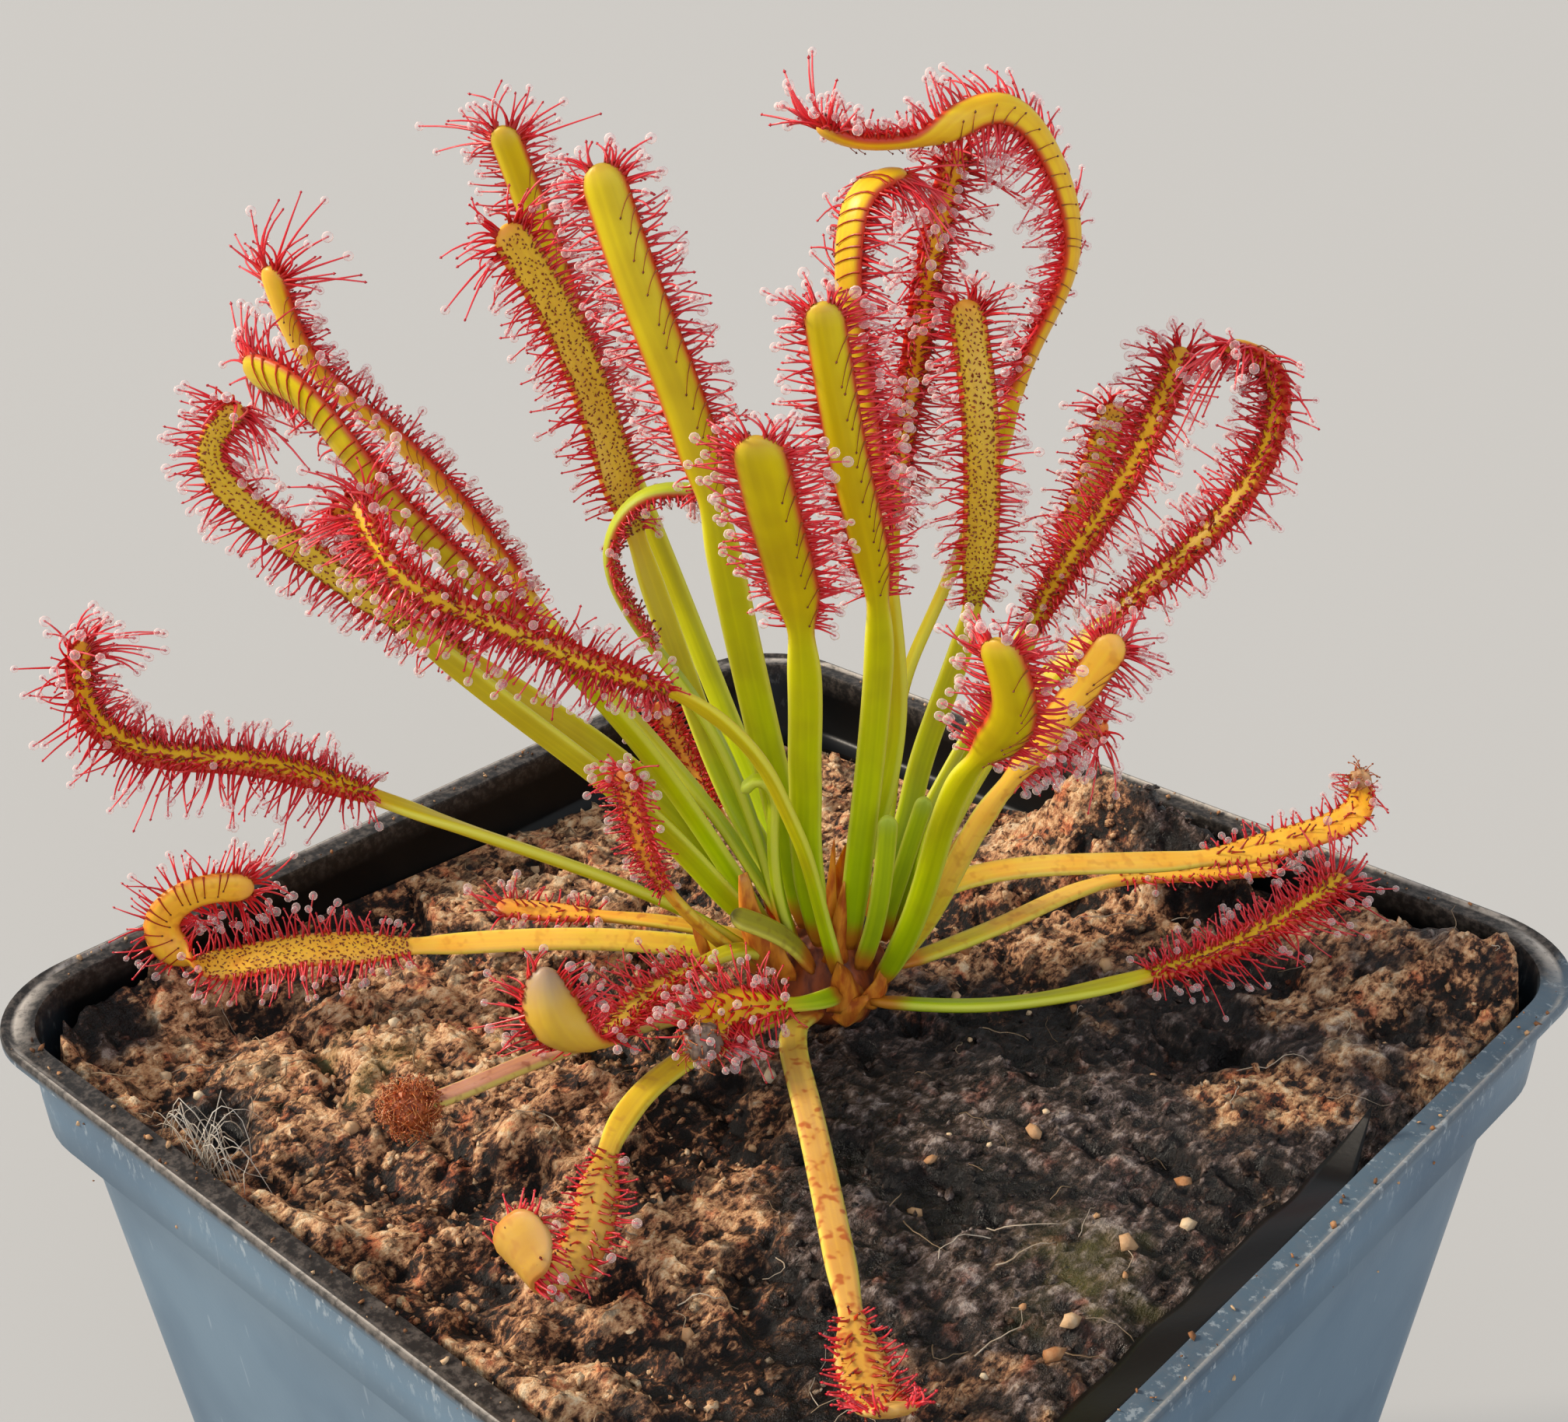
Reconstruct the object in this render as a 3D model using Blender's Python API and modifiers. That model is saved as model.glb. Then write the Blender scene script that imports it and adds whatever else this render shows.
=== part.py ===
"""A potted sundew: a square nursery pot of peat with a rosette of sticky, tentacled leaves.

Driving sizes are in millimetres. MM turns them to metres where a mesh is made.
The world's origin is the middle of the pot's base, with the pot's sides along X and Y.
The plant has a frame of its own at its crown: right, back and up, turned about Z.
"""

import math
from typing import NamedTuple

import bmesh
import bpy
import numpy as np
from mathutils import Matrix, Vector

MM = 0.001
CLEAR = 0.3

# Pot: a standard nine centimetre square pot of thin moulded plastic
RIM_SIDE = 90.0
POT_HEIGHT = 95.0
RIM_RADIUS = 9.0
LIP_OVERHANG = 1.2
LIP_THICK = 1.2
COLLAR_HEIGHT = 8.0
COLLAR_STEP = 1.5
WALL = 1.0
WALL_RADIUS = 12.0
TAPER = 0.1
FLOOR_TOP = 3.0
CHANNEL_DEPTH = 1.5
FOOT_WIDTH = 4.0
PAD_HALF = 14.0
DRAIN_RADIUS = 2.8
DRAIN_REACH = 21.5
CORNER_STEPS = 5

# Soil: its level at the crown, its fall towards each wall, and its lumps
SOIL_LEVEL = 91.0
SOIL_CELLS = 20
SOIL_LUMPS = 46
LUMP_HEIGHT = 0.8
GRAIN_COUNT = 12
SOIL_SEED = 11

# Plant: where its frame stands, and the crown that carries the leaves
CROWN_X = -1.0
CROWN_Y = 5.0
PLANT_TURN = 42.4
CROWN_RADIUS = 5.4
CROWN_HEIGHT = 7.0
STOCK_RADIUS = 3.2
STOCK_DEPTH = 8.0

# Leaves: how thick they are, and how the solids are divided
PETIOLE_THICK = 1.0
BLADE_THICK = 0.9
BASE_WIDTH = 1.5
TIP_SHARE = 0.45
STATION_LENGTH = 7.0
STATION_TURN = 20.0
SETTLE_STEP = 0.8
SETTLE_ROUNDS = 60
SETTLE_GAP = 0.5

# Tentacles: a stalk that swells to its drop
STALK_RADIUS = 0.13
DROP_RADIUS = 0.4
EDGE_SPACING = 5.2
EDGE_LENGTH = 4.0
FACE_LENGTH = 2.6
TIP_LENGTH = 4.5
TENTACLE_GAP = 0.35
TENTACLE_SEED = 5

# Dry sheaths round the crown
SHEATH_TRIES = 500
SHEATH_COUNT = 11
SHEATH_WIDTH = 2.4
SHEATH_THICK = 0.7
SHEATH_SEED = 4


class Leaf(NamedTuple):
    """One leaf: its finish, sizes in mm, the way its sticky face looks, and its route."""

    finish: str
    petiole: float
    blade: float
    blade_length: float
    face: tuple
    route: tuple


# The routes' points are right, back and up from the crown, chosen by hand along each midrib
LEAVES = {
    "left_low": Leaf("green", 1.9, 2.6, 27, (0.1, 0.4, 0.9), (
        (-4, -1, 4), (-12, -1, 9), (-27, -3, 17), (-35, -4, 21), (-43, -5, 24), (-50, -5, 25),
        (-53, -5, 28), (-53, -4, 33))),
    "left_hooked": Leaf("yellow", 1.9, 2.8, 30, (0, -0.6, 0.8), (
        (-5, 1, 3), (-19, 2, 4), (-36, 1, 4), (-44, 0, 4), (-50, 0, 3.5), (-52.5, 0.5, 6),
        (-50, 1, 9), (-45, 2, 9))),
    "left_small": Leaf("orange", 1.3, 2.2, 9, (0, -0.2, 1), (
        (-5, 3, 3), (-13, 4.5, 4), (-20, 6.5, 3.5), (-27, 7, 4))),
    "front_dead": Leaf("withered", 1.8, 0, 0, (0, 0, 1), (
        (-4, -4, 2), (-10, -6, 2.5), (-20, -10.5, 2.5), (-28, -17, 3), (-30, -19, 3.5))),
    "front_left": Leaf("yellow", 2.0, 3.0, 21, (0.2, 0, 1), (
        (-3, -5, 2), (-8, -10, 3), (-12, -14, 3), (-16, -25, 3), (-17, -34, 3), (-19, -37, 4),
        (-20.5, -38, 6.5), (-18, -38.5, 9))),
    "front_long": Leaf("peach", 2.1, 3.4, 14, (0, 0.2, 1), (
        (-1, -5.5, 2), (-2.5, -8, 3), (-2.5, -16, 3.5), (-0.5, -32, 3.5), (0.5, -41, 3.5), (1.5, -48, 4.5),
        (2.5, -52, 8))),
    "right_green": Leaf("green", 1.8, 2.3, 19, (0, 0.3, 1), (
        (3, -4.5, 2.5), (11, -6, 3), (22, -4, 3.5), (33, 0, 5), (41, 4, 8))),
    "right_yellow": Leaf("yellow", 2.1, 2.8, 16, (0, -0.4, 1), (
        (4, 2, 4.5), (9, 6, 6), (21, 8, 7), (32, 9, 7), (40, 9.5, 9), (43.5, 10, 11), (43, 10, 13.5))),
    "right_under": Leaf("yellow", 1.8, 2.2, 14, (0, 0, 1), (
        (5, 0, 2.5), (15, 6, 3), (24, 12, 3), (31, 13, 3), (38, 13, 3.5))),
    "back_tall": Leaf("green", 2.6, 3.1, 24, (0.1, 1, 0.1), (
        (-2, -1, 7), (-3, -1, 13), (-5.5, -2, 27), (-7.5, -4, 39), (-9.5, -5, 49), (-12.5, -5, 58), (-15, -4, 66))),
    "front_tall": Leaf("green", 2.4, 3.4, 20, (0.15, 1, 0), (
        (-1, -3, 7), (-2, -5, 16), (-2, -10, 31), (-2.5, -13, 39), (-4, -19, 48), (-5, -22, 54))),
    "front_middle": Leaf("green", 2.1, 2.6, 24, (0.1, 1, 0), (
        (1.5, -3, 6.5), (2, -4, 14), (3, -6, 28), (3, -8, 37), (1, -12, 48), (-1, -15, 60))),
    "arched": Leaf("green", 2.0, 2.6, 28, (0.8, 0.6, 0), (
        (1, 1, 7), (3, 1, 13), (5, 1, 24), (4, 1, 36), (2, -1, 50), (1, -3, 60), (2, -2, 64), (4.5, 0, 65))),
    "back_slender": Leaf("green", 1.8, 2.4, 29, (0.9, -0.3, 0), (
        (2, 3.5, 5.5), (4, 6, 12), (5, 9, 25), (5, 10, 38), (6.5, 10, 50), (7.5, 9, 58), (9, 9, 64))),
    "looped": Leaf("green", 1.8, 2.2, 38, (0.9, 0, -0.4), (
        (3.5, 1.5, 6), (5, 4, 13), (6, 7, 24), (8, 8, 29), (12, 9, 40), (14.5, 6, 51), (16.5, 4.5, 57),
        (15, 3, 64), (10.5, 1, 68.5), (7, 0, 67), (2.5, 0, 66), (-1, 0, 67.5))),
    "dotted": Leaf("green", 1.9, 2.7, 23, (0, -1, 0.15), (
        (3.5, 0, 5.5), (5, 2.5, 11), (8, 4, 22), (10.5, 4, 31), (11, 4, 40), (10.5, 5, 48), (9.5, 7, 54))),
    "right_tall": Leaf("green", 2.0, 2.3, 24, (-0.5, -0.7, 0.4), (
        (4.5, 1, 4.5), (6.5, 1.5, 10), (12, 4, 21), (17, 4, 34), (21, 4, 41), (25, 5, 51))),
    "right_curled": Leaf("green", 2.0, 2.2, 26, (-0.5, -0.5, 0.7), (
        (4.5, -1, 4), (7, -1, 11), (13, -2, 25), (20, -3, 34), (26, -3, 40), (30, -3, 48), (29, -3, 52.5),
        (26, -3, 53.5))),
    "right_back": Leaf("green", 1.7, 2.4, 14, (0, -1, 0.2), (
        (4, 4, 3.5), (7, 8, 9), (15, 13, 23), (19, 14, 33), (22, 14, 44))),
    "near_right": Leaf("green", 1.9, 3.0, 15, (0.2, 1, 0), (
        (3.5, -3.5, 3.5), (5, -6, 8), (7, -11, 19), (9, -19, 31), (10.5, -25, 38), (9, -26.5, 43))),
    "middle_right": Leaf("yellow", 1.7, 2.4, 14, (0.6, 0.5, 0.6), (
        (4.5, -2.5, 4), (7, -4, 9), (11, -8, 21), (14, -10, 27), (19, -11, 36))),
    "orange_right": Leaf("orange", 1.5, 2.4, 10, (-0.3, -0.5, 0.8), (
        (5, 2.5, 3), (8, 4, 7), (14, 6, 15), (18, 6, 19), (21, 3, 22))),
    "upper_left": Leaf("green", 2.0, 2.3, 32, (0.75, 0, 0.65), (
        (-4, 3, 5), (-8, 5, 12), (-17, 8, 23), (-25, 9, 34), (-32, 8, 44), (-37, 8, 49), (-39, 6, 57))),
    "left_striped": Leaf("green", 2.2, 3.0, 29, (0.3, 0.75, 0.6), (
        (-4.5, 0.5, 5), (-10, 1, 15), (-17, -1, 27), (-23, -3, 35), (-32, -4, 46), (-36, -3, 51),
        (-40, 0, 51.5))),
    "left_dotted": Leaf("green", 2.2, 2.9, 25, (-0.3, -0.95, -0.1), (
        (-4.5, -1, 4.5), (-14, -1, 17), (-24, -2, 27), (-34, -3, 37), (-41, -3, 43.5), (-42, -4.5, 47),
        (-39, -6.5, 51))),
    "left_red": Leaf("green", 1.2, 2.0, 26, (0, -0.6, -0.8), (
        (0.5, -4.5, 4.5), (-1, -6, 12), (-4, -8, 23), (-10, -10, 31), (-17, -12, 35), (-23, -12, 38),
        (-29, -11.5, 41.5), (-31.5, -8.5, 45))),
    "dotted_tall": Leaf("green", 2.0, 3.0, 25, (0.35, -0.9, 0.1), (
        (-2.5, 2, 6.5), (-6, 4, 12), (-11, 6, 25), (-15, 8, 38), (-19, 10, 51), (-23, 9, 59))),
    "back_left": Leaf("green", 2.0, 2.6, 24, (0.2, 1, 0.1), (
        (-1.5, 4, 5.5), (-6, 10, 14), (-13, 16, 31), (-18, 19, 44), (-22, 20, 57), (-24, 19, 64))),
    "young_curled": Leaf("young", 1.8, 1.9, 18, (0.9, 0, 0.3), (
        (-3.5, 0, 6), (-5, 1, 12), (-10, 2, 25), (-15, 2, 33), (-16, 2, 37), (-13, 2, 41.5), (-9, 2, 41.5))),
    "crosier": Leaf("young", 1.3, 0, 0, (-1, 0, 0), (
        (-2.5, -2.5, 6), (-4, -4.5, 14), (-4, -5, 20), (-4.5, -5, 22), (-6, -5, 22.5), (-6.5, -5, 21))),
    "bud_front": Leaf("young", 1.5, 0, 0, (0, -1, 0), (
        (2.5, -4, 5), (3.5, -6, 12), (4, -7, 20))),
    "bud_right": Leaf("young", 1.4, 0, 0, (0, -1, 0), (
        (4, -0.5, 5), (5.5, -2, 13), (7, -2.5, 19))),
    "front_cupped": Leaf("yellow", 1.9, 3.2, 19, (0, 0, 1), (
        (-4, -3, 4), (-6.5, -4, 7), (-11, -7.5, 7), (-15, -11, 6), (-17.5, -14.5, 5.5), (-20, -15, 8),
        (-20.5, -14, 12))),
    "front_folded": Leaf("yellow", 1.5, 3.2, 9, (0, -0.6, 0.8), (
        (0.5, -5, 3.5), (-1, -9, 5.5), (-4, -11, 6.5), (-8, -12, 7), (-9.5, -15.5, 6.5))),
    "small_red": Leaf("orange", 1.1, 2.2, 11, (-0.5, -0.8, 0.3), (
        (-5, -2, 3.5), (-9, -4, 8), (-13, -5, 14), (-15, -5, 23))),
    "back_orange": Leaf("orange", 1.2, 2.4, 11, (-0.3, -0.8, 0.5), (
        (-3, 4.5, 3), (-6, 9, 6), (-10, 15, 10), (-14, 18, 17))),
    "cut_stub": Leaf("pale", 1.9, 0, 0, (0, -0.5, 1), (
        (-1.5, -4.5, 5.5), (-3, -5.5, 8.5), (-7.5, -6.5, 11.5))),
    "left_hidden": Leaf("pale", 2.1, 2.4, 17, (0, -0.8, 0.6), (
        (-4.5, 2, 4), (-8, 4, 9), (-20, 4, 22), (-29, 3, 30), (-33.5, 2, 37), (-34.5, 0, 42))),
}

# Where a blade has died back to a ball at its tip, and the ball's radius in mm
WITHERED_TIPS = {"front_dead": 2.1, "front_folded": 1.6, "right_yellow": 1.3}

# Colours as red, green and blue, with roughness
FINISHES = {
    "pot": ((0.02, 0.022, 0.025), 0.45),
    "soil": ((0.06, 0.036, 0.022), 0.95),
    "crown": ((0.30, 0.09, 0.02), 0.7),
    "green": ((0.33, 0.42, 0.02), 0.4),
    "young": ((0.36, 0.50, 0.08), 0.45),
    "pale": ((0.42, 0.46, 0.12), 0.4),
    "yellow": ((0.62, 0.46, 0.04), 0.4),
    "orange": ((0.66, 0.25, 0.03), 0.45),
    "peach": ((0.62, 0.32, 0.11), 0.5),
    "withered": ((0.45, 0.20, 0.12), 0.7),
}


def remove_old_objects():
    """Empty the scene, so that the model is the same each time."""
    for obj in list(bpy.data.objects):
        bpy.data.objects.remove(obj)


def new_collection(name):
    """A collection linked to the scene."""
    collection = bpy.data.collections.new(name)
    bpy.context.scene.collection.children.link(collection)
    return collection


def material(name):
    """The plain material of one finish."""
    found = bpy.data.materials.get(name)
    if found:
        return found
    colour, roughness = FINISHES[name]
    made = bpy.data.materials.new(name)
    made.use_nodes = True
    shader = made.node_tree.nodes["Principled BSDF"]
    shader.inputs["Base Color"].default_value = (*colour, 1)
    shader.inputs["Roughness"].default_value = roughness
    shader.inputs["Metallic"].default_value = 0
    made.diffuse_color = (*colour, 1)
    return made


def mesh_object(name, verts, faces, finish, collection, parent=None):
    """An object from points in mm and faces."""
    mesh = bpy.data.meshes.new(name)
    mesh.from_pydata((np.asarray(verts, float) * MM).tolist(), [], faces)
    mesh.validate()
    obj = bpy.data.objects.new(name, mesh)
    obj.parent = parent
    mesh.materials.append(material(finish))
    collection.objects.link(obj)
    return obj


def smooth(obj, degrees=40):
    """Smooth shading with the sharp edges kept."""
    obj.data.shade_smooth()
    obj.data.set_sharp_from_angle(angle=math.radians(degrees))


def boolean(obj, collection, operation, solver="EXACT"):
    """Cut obj by a collection, or join it to one, and apply the result."""
    modifier = obj.modifiers.new(operation.lower(), "BOOLEAN")
    modifier.operation = operation
    modifier.solver = solver
    modifier.operand_type = "COLLECTION"
    modifier.collection = collection
    graph = bpy.context.evaluated_depsgraph_get()
    result = bpy.data.meshes.new_from_object(obj.evaluated_get(graph))
    obj.modifiers.remove(modifier)
    obj.data = result


def remove_collection(collection):
    """Drop a collection and what is in it."""
    for obj in list(collection.objects):
        bpy.data.objects.remove(obj)
    bpy.data.collections.remove(collection)


def loft(rings):
    """Quads between neighbouring rings of equal count, with the first and last rings capped."""
    count = len(rings[0])
    faces = []
    for low in range(0, (len(rings) - 1) * count, count):
        for i in range(count):
            j = (i + 1) % count
            faces.append((low + i, low + j, low + count + j, low + count + i))
    last = (len(rings) - 1) * count
    faces.append(tuple(range(count))[::-1])
    faces.append(tuple(range(last, last + count)))
    return np.concatenate(rings), faces


def rounded_square(half, radius, z):
    """The outline of a rounded square at one height, anticlockwise from +X."""
    points = []
    for corner in range(4):
        middle = math.radians(45 + 90 * corner)
        cx = math.copysign(half - radius, math.cos(middle))
        cy = math.copysign(half - radius, math.sin(middle))
        for step in range(CORNER_STEPS + 1):
            angle = math.radians(90 * corner + 90 * step / CORNER_STEPS)
            points.append((cx + radius * math.cos(angle), cy + radius * math.sin(angle), z))
    return np.array(points)


def wall_half(z):
    """Half the width over the tapered wall's outer face at a height."""
    top = RIM_SIDE / 2 - LIP_OVERHANG - COLLAR_STEP
    return top - TAPER * (POT_HEIGHT - COLLAR_HEIGHT - z)


def build_pot(collection):
    """The pot: one outline lofted up the outside, over the lip, down the inside and over the floor."""
    lip = RIM_SIDE / 2
    collar = lip - LIP_OVERHANG
    ledge = POT_HEIGHT - COLLAR_HEIGHT
    foot = wall_half(0)
    steps = [
        (PAD_HALF, 4, 0),
        (PAD_HALF + 1, 4, CHANNEL_DEPTH),
        (foot - FOOT_WIDTH - 1, 8, CHANNEL_DEPTH),
        (foot - FOOT_WIDTH, 8, 0),
        (foot - 1, WALL_RADIUS - 1, 0),
        (foot, WALL_RADIUS, 1),
        (wall_half(ledge), WALL_RADIUS, ledge),
        (collar, WALL_RADIUS - 1, ledge),
        (collar, RIM_RADIUS, POT_HEIGHT - LIP_THICK),
        (lip, RIM_RADIUS, POT_HEIGHT - LIP_THICK),
        (lip, RIM_RADIUS, POT_HEIGHT - 0.4),
        (lip - 0.4, RIM_RADIUS, POT_HEIGHT),
        (collar - WALL, RIM_RADIUS - 1, POT_HEIGHT),
        (collar - WALL, WALL_RADIUS - 2, ledge + WALL),
        (wall_half(ledge) - WALL, WALL_RADIUS - WALL, ledge + WALL),
        (wall_half(FLOOR_TOP) - WALL, WALL_RADIUS - WALL, FLOOR_TOP),
    ]
    verts, faces = loft([rounded_square(*step) for step in steps])
    pot = mesh_object("pot", verts, faces, "pot", collection)
    cutters = new_collection("pot_cutters")
    for ix in (-1, 0, 1):
        for iy in (-1, 0, 1):
            if ix or iy:
                add_drain_cutter(cutters, ix * DRAIN_REACH, iy * DRAIN_REACH)
    boolean(pot, cutters, "DIFFERENCE")
    remove_collection(cutters)
    smooth(pot, 30)
    return pot


def add_drain_cutter(collection, x, y):
    """A round cutter through the pot's floor."""
    bm = bmesh.new()
    place = Matrix.Translation((x * MM, y * MM, FLOOR_TOP / 2 * MM))
    bmesh.ops.create_cone(bm, cap_ends=True, segments=8, radius1=DRAIN_RADIUS * MM,
                          radius2=DRAIN_RADIUS * MM, depth=4 * FLOOR_TOP * MM, matrix=place)
    mesh = bpy.data.meshes.new("drain")
    bm.to_mesh(mesh)
    bm.free()
    cutter = bpy.data.objects.new("drain", mesh)
    cutter.hide_render = True
    cutter.display_type = "WIRE"
    collection.objects.link(cutter)


def plant_axes():
    """The plant frame's right and back directions in the world."""
    turn = math.radians(PLANT_TURN)
    return np.array([math.cos(turn), math.sin(turn)]), np.array([-math.sin(turn), math.cos(turn)])


def to_world_xy(points):
    """World x and y of points in the plant's frame."""
    right, back = plant_axes()
    return points[..., :1] * right + points[..., 1:2] * back + np.array([CROWN_X, CROWN_Y])


def soil_lumps():
    """Seeded middles, heights and radii of the soil's lumps and hollows."""
    rng = np.random.default_rng(SOIL_SEED)
    middles = rng.uniform(-40, 40, (SOIL_LUMPS, 2))
    heights = rng.uniform(-1, 1, SOIL_LUMPS) * LUMP_HEIGHT
    radii = rng.uniform(3, 6.5, SOIL_LUMPS)
    return middles, heights, radii


def soil_height(xy):
    """Height of the soil over its level at the crown.

    A fall towards the left and rise to the front, a hollow in the left corner, and round
    lumps: height * exp(-(distance / radius)^2). All of it fades out at the crown.
    """
    x, y = xy[..., 0], xy[..., 1]
    fall = 1.6 * x / 45 - 1.4 * y / 45 + 1.2 * x * y / 45 ** 2
    hollow = -4.5 * np.exp(-((x + 38) ** 2 + (y + 34) ** 2) / 9.0 ** 2)
    trench = -2.0 * np.exp(-((x - 44) / 5.0) ** 2)
    lumps = np.zeros_like(x)
    for (cx, cy), height, radius in zip(*soil_lumps()):
        lumps = lumps + height * np.exp(-((x - cx) ** 2 + (y - cy) ** 2) / radius ** 2)
    near = np.hypot(x - CROWN_X, y - CROWN_Y)
    fade = np.clip((near - 6.5) / 9.0, 0, 1)
    return -0.4 + fade * (fall + hollow + trench + lumps)


def in_outline(u, v, half, radius):
    """Square grid coordinates from -1 to 1 mapped into a rounded square.

    Along each ray from the middle, the square's edge is at half / max(|cos|, |sin|) and the
    rounded edge is there too, or on the corner's circle. A point moves in by their ratio,
    weighted by the square of its own reach.
    """
    reach = np.maximum(np.abs(u), np.abs(v))
    angle = np.arctan2(v, u)
    c, s = np.abs(np.cos(angle)), np.abs(np.sin(angle))
    square = half / np.maximum(c, s)
    inner = half - radius
    middle = inner * (c + s)
    under_root = np.maximum(middle ** 2 - 2 * inner ** 2 + radius ** 2, 0)
    on_corner = np.minimum(c, s) * square > inner
    rounded = np.where(on_corner, middle + np.sqrt(under_root), square)
    scale = half * (1 - (1 - rounded / square) * reach ** 2)
    return np.stack([u * scale, v * scale], -1)


def build_soil(collection):
    """The soil: a relief on a square grid pulled to the pot's rounded outline, over a tapered block."""
    cells = SOIL_CELLS
    level = POT_HEIGHT - COLLAR_HEIGHT
    gap = WALL + CLEAR
    radius = WALL_RADIUS - gap
    grid = np.linspace(-1, 1, cells + 1)
    u, v = np.meshgrid(grid, grid, indexing="ij")
    xy = in_outline(u, v, wall_half(level) - gap, radius)
    top = np.concatenate([xy, SOIL_LEVEL + soil_height(xy)[..., None]], -1).reshape(-1, 3)
    index = np.arange((cells + 1) ** 2).reshape(cells + 1, cells + 1)
    faces = [(int(index[i, j]), int(index[i + 1, j]), int(index[i + 1, j + 1]), int(index[i, j + 1]))
             for i in range(cells) for j in range(cells)]
    edge = np.concatenate([index[:-1, 0], index[-1, :-1], index[:0:-1, -1], index[0, :0:-1]])
    bottom_z = FLOOR_TOP + CLEAR
    low = in_outline(u.ravel()[edge], v.ravel()[edge], wall_half(bottom_z) - gap, radius)
    bottom = np.concatenate([low, np.full((len(low), 1), bottom_z)], 1)
    first = len(top)
    count = len(edge)
    for i in range(count):
        j = (i + 1) % count
        faces.append((first + i, first + j, int(edge[j]), int(edge[i])))
    faces.append(tuple(range(first, first + count))[::-1])
    soil = mesh_object("soil", np.concatenate([top, bottom]), faces, "soil", collection)
    grains = new_collection("soil_grains")
    add_grains(grains)
    boolean(soil, grains, "UNION")
    remove_collection(grains)
    hole = new_collection("soil_hole")
    add_stock_cutter(hole)
    boolean(soil, hole, "DIFFERENCE")
    remove_collection(hole)
    return soil


def grain_places():
    """Seeded middles and radii of the coarse grains that stand out of the soil, clear of the crown."""
    rng = np.random.default_rng(SOIL_SEED + 1)
    places = []
    while len(places) < GRAIN_COUNT:
        x, y = rng.uniform(-37, 37, 2)
        radius = rng.uniform(0.9, 1.6)
        if math.hypot(x - CROWN_X, y - CROWN_Y) > 12:
            places.append((x, y, radius))
    return places


def add_grains(collection):
    """Grit: twenty-sided stones sunk to about their middles."""
    for number, (x, y, radius) in enumerate(grain_places()):
        bm = bmesh.new()
        z = SOIL_LEVEL + float(soil_height(np.array([x, y]))) + 0.15 * radius
        turn = Matrix.Rotation(number, 4, Vector((1, number % 3, 2)).normalized())
        shape = Matrix.Diagonal((1.2, 0.9, 0.75, 1))
        bmesh.ops.create_icosphere(bm, subdivisions=1, radius=radius * MM,
                                   matrix=Matrix.Translation((x * MM, y * MM, z * MM)) @ turn @ shape)
        mesh = bpy.data.meshes.new("grain")
        bm.to_mesh(mesh)
        bm.free()
        collection.objects.link(bpy.data.objects.new("grain", mesh))


def add_stock_cutter(collection):
    """The plain round hole that the crown's stock stands in."""
    bm = bmesh.new()
    depth = STOCK_DEPTH + CLEAR + 5
    place = Matrix.Translation((CROWN_X * MM, CROWN_Y * MM, (SOIL_LEVEL - STOCK_DEPTH - CLEAR + depth / 2) * MM))
    bmesh.ops.create_cone(bm, cap_ends=True, segments=16, radius1=(STOCK_RADIUS + CLEAR) * MM,
                          radius2=(STOCK_RADIUS + CLEAR) * MM, depth=depth * MM, matrix=place)
    mesh = bpy.data.meshes.new("stock_hole")
    bm.to_mesh(mesh)
    bm.free()
    collection.objects.link(bpy.data.objects.new("stock_hole", mesh))


def spline(points, step):
    """A natural cubic spline through points by chord length, read every step mm of its length."""
    points = np.asarray(points, float)
    chord = np.concatenate([[0], np.cumsum(np.linalg.norm(np.diff(points, axis=0), axis=1))])
    span = np.diff(chord)
    count = len(points)
    system = np.eye(count)
    right = np.zeros_like(points)
    for i in range(1, count - 1):
        system[i, i - 1:i + 2] = span[i - 1], 2 * (span[i - 1] + span[i]), span[i]
        right[i] = 6 * ((points[i + 1] - points[i]) / span[i] - (points[i] - points[i - 1]) / span[i - 1])
    bend = np.linalg.solve(system, right)

    def at(where):
        k = np.clip(np.searchsorted(chord, where, side="right") - 1, 0, count - 2)
        before, after = (where - chord[k])[:, None], (chord[k + 1] - where)[:, None]
        width = span[k][:, None]
        cubic = (bend[k] * after ** 3 + bend[k + 1] * before ** 3) / (6 * width)
        line = (points[k] / width - bend[k] * width / 6) * after
        return cubic + line + (points[k + 1] / width - bend[k + 1] * width / 6) * before

    fine = at(np.linspace(0, chord[-1], 40 * count))
    return resample(fine, max(3, round(length_of(fine) / step) + 1))


def length_of(path):
    """Length of a polyline."""
    return float(np.linalg.norm(np.diff(path, axis=0), axis=1).sum())


def resample(path, count, weight=None):
    """A polyline read at a number of places, even in length or in a running weight."""
    if weight is None:
        weight = np.concatenate([[0], np.cumsum(np.linalg.norm(np.diff(path, axis=0), axis=1))])
    places = np.linspace(0, weight[-1], count)
    return np.stack([np.interp(places, weight, path[:, k]) for k in range(3)], -1)


def unit(vectors):
    """Vectors scaled to length one."""
    return vectors / np.maximum(np.linalg.norm(vectors, axis=-1, keepdims=True), 1e-9)


def frames(path, face, share):
    """Tangent, side and face directions along a path.

    The face is set at the blade's foot, a share of the way along, and carried both ways
    with no twist: at each step the part along the new tangent is taken off.
    """
    tangent = unit(np.gradient(path, axis=0))
    start = int(round(share * (len(path) - 1)))
    faces = np.zeros_like(path)
    faces[start] = unit(np.asarray(face, float) - tangent[start] * np.dot(face, tangent[start]))
    for i in range(start + 1, len(path)):
        faces[i] = unit(faces[i - 1] - tangent[i] * faces[i - 1].dot(tangent[i]))
    for i in range(start - 1, -1, -1):
        faces[i] = unit(faces[i + 1] - tangent[i] * faces[i + 1].dot(tangent[i]))
    return tangent, np.cross(tangent, faces), faces


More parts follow.
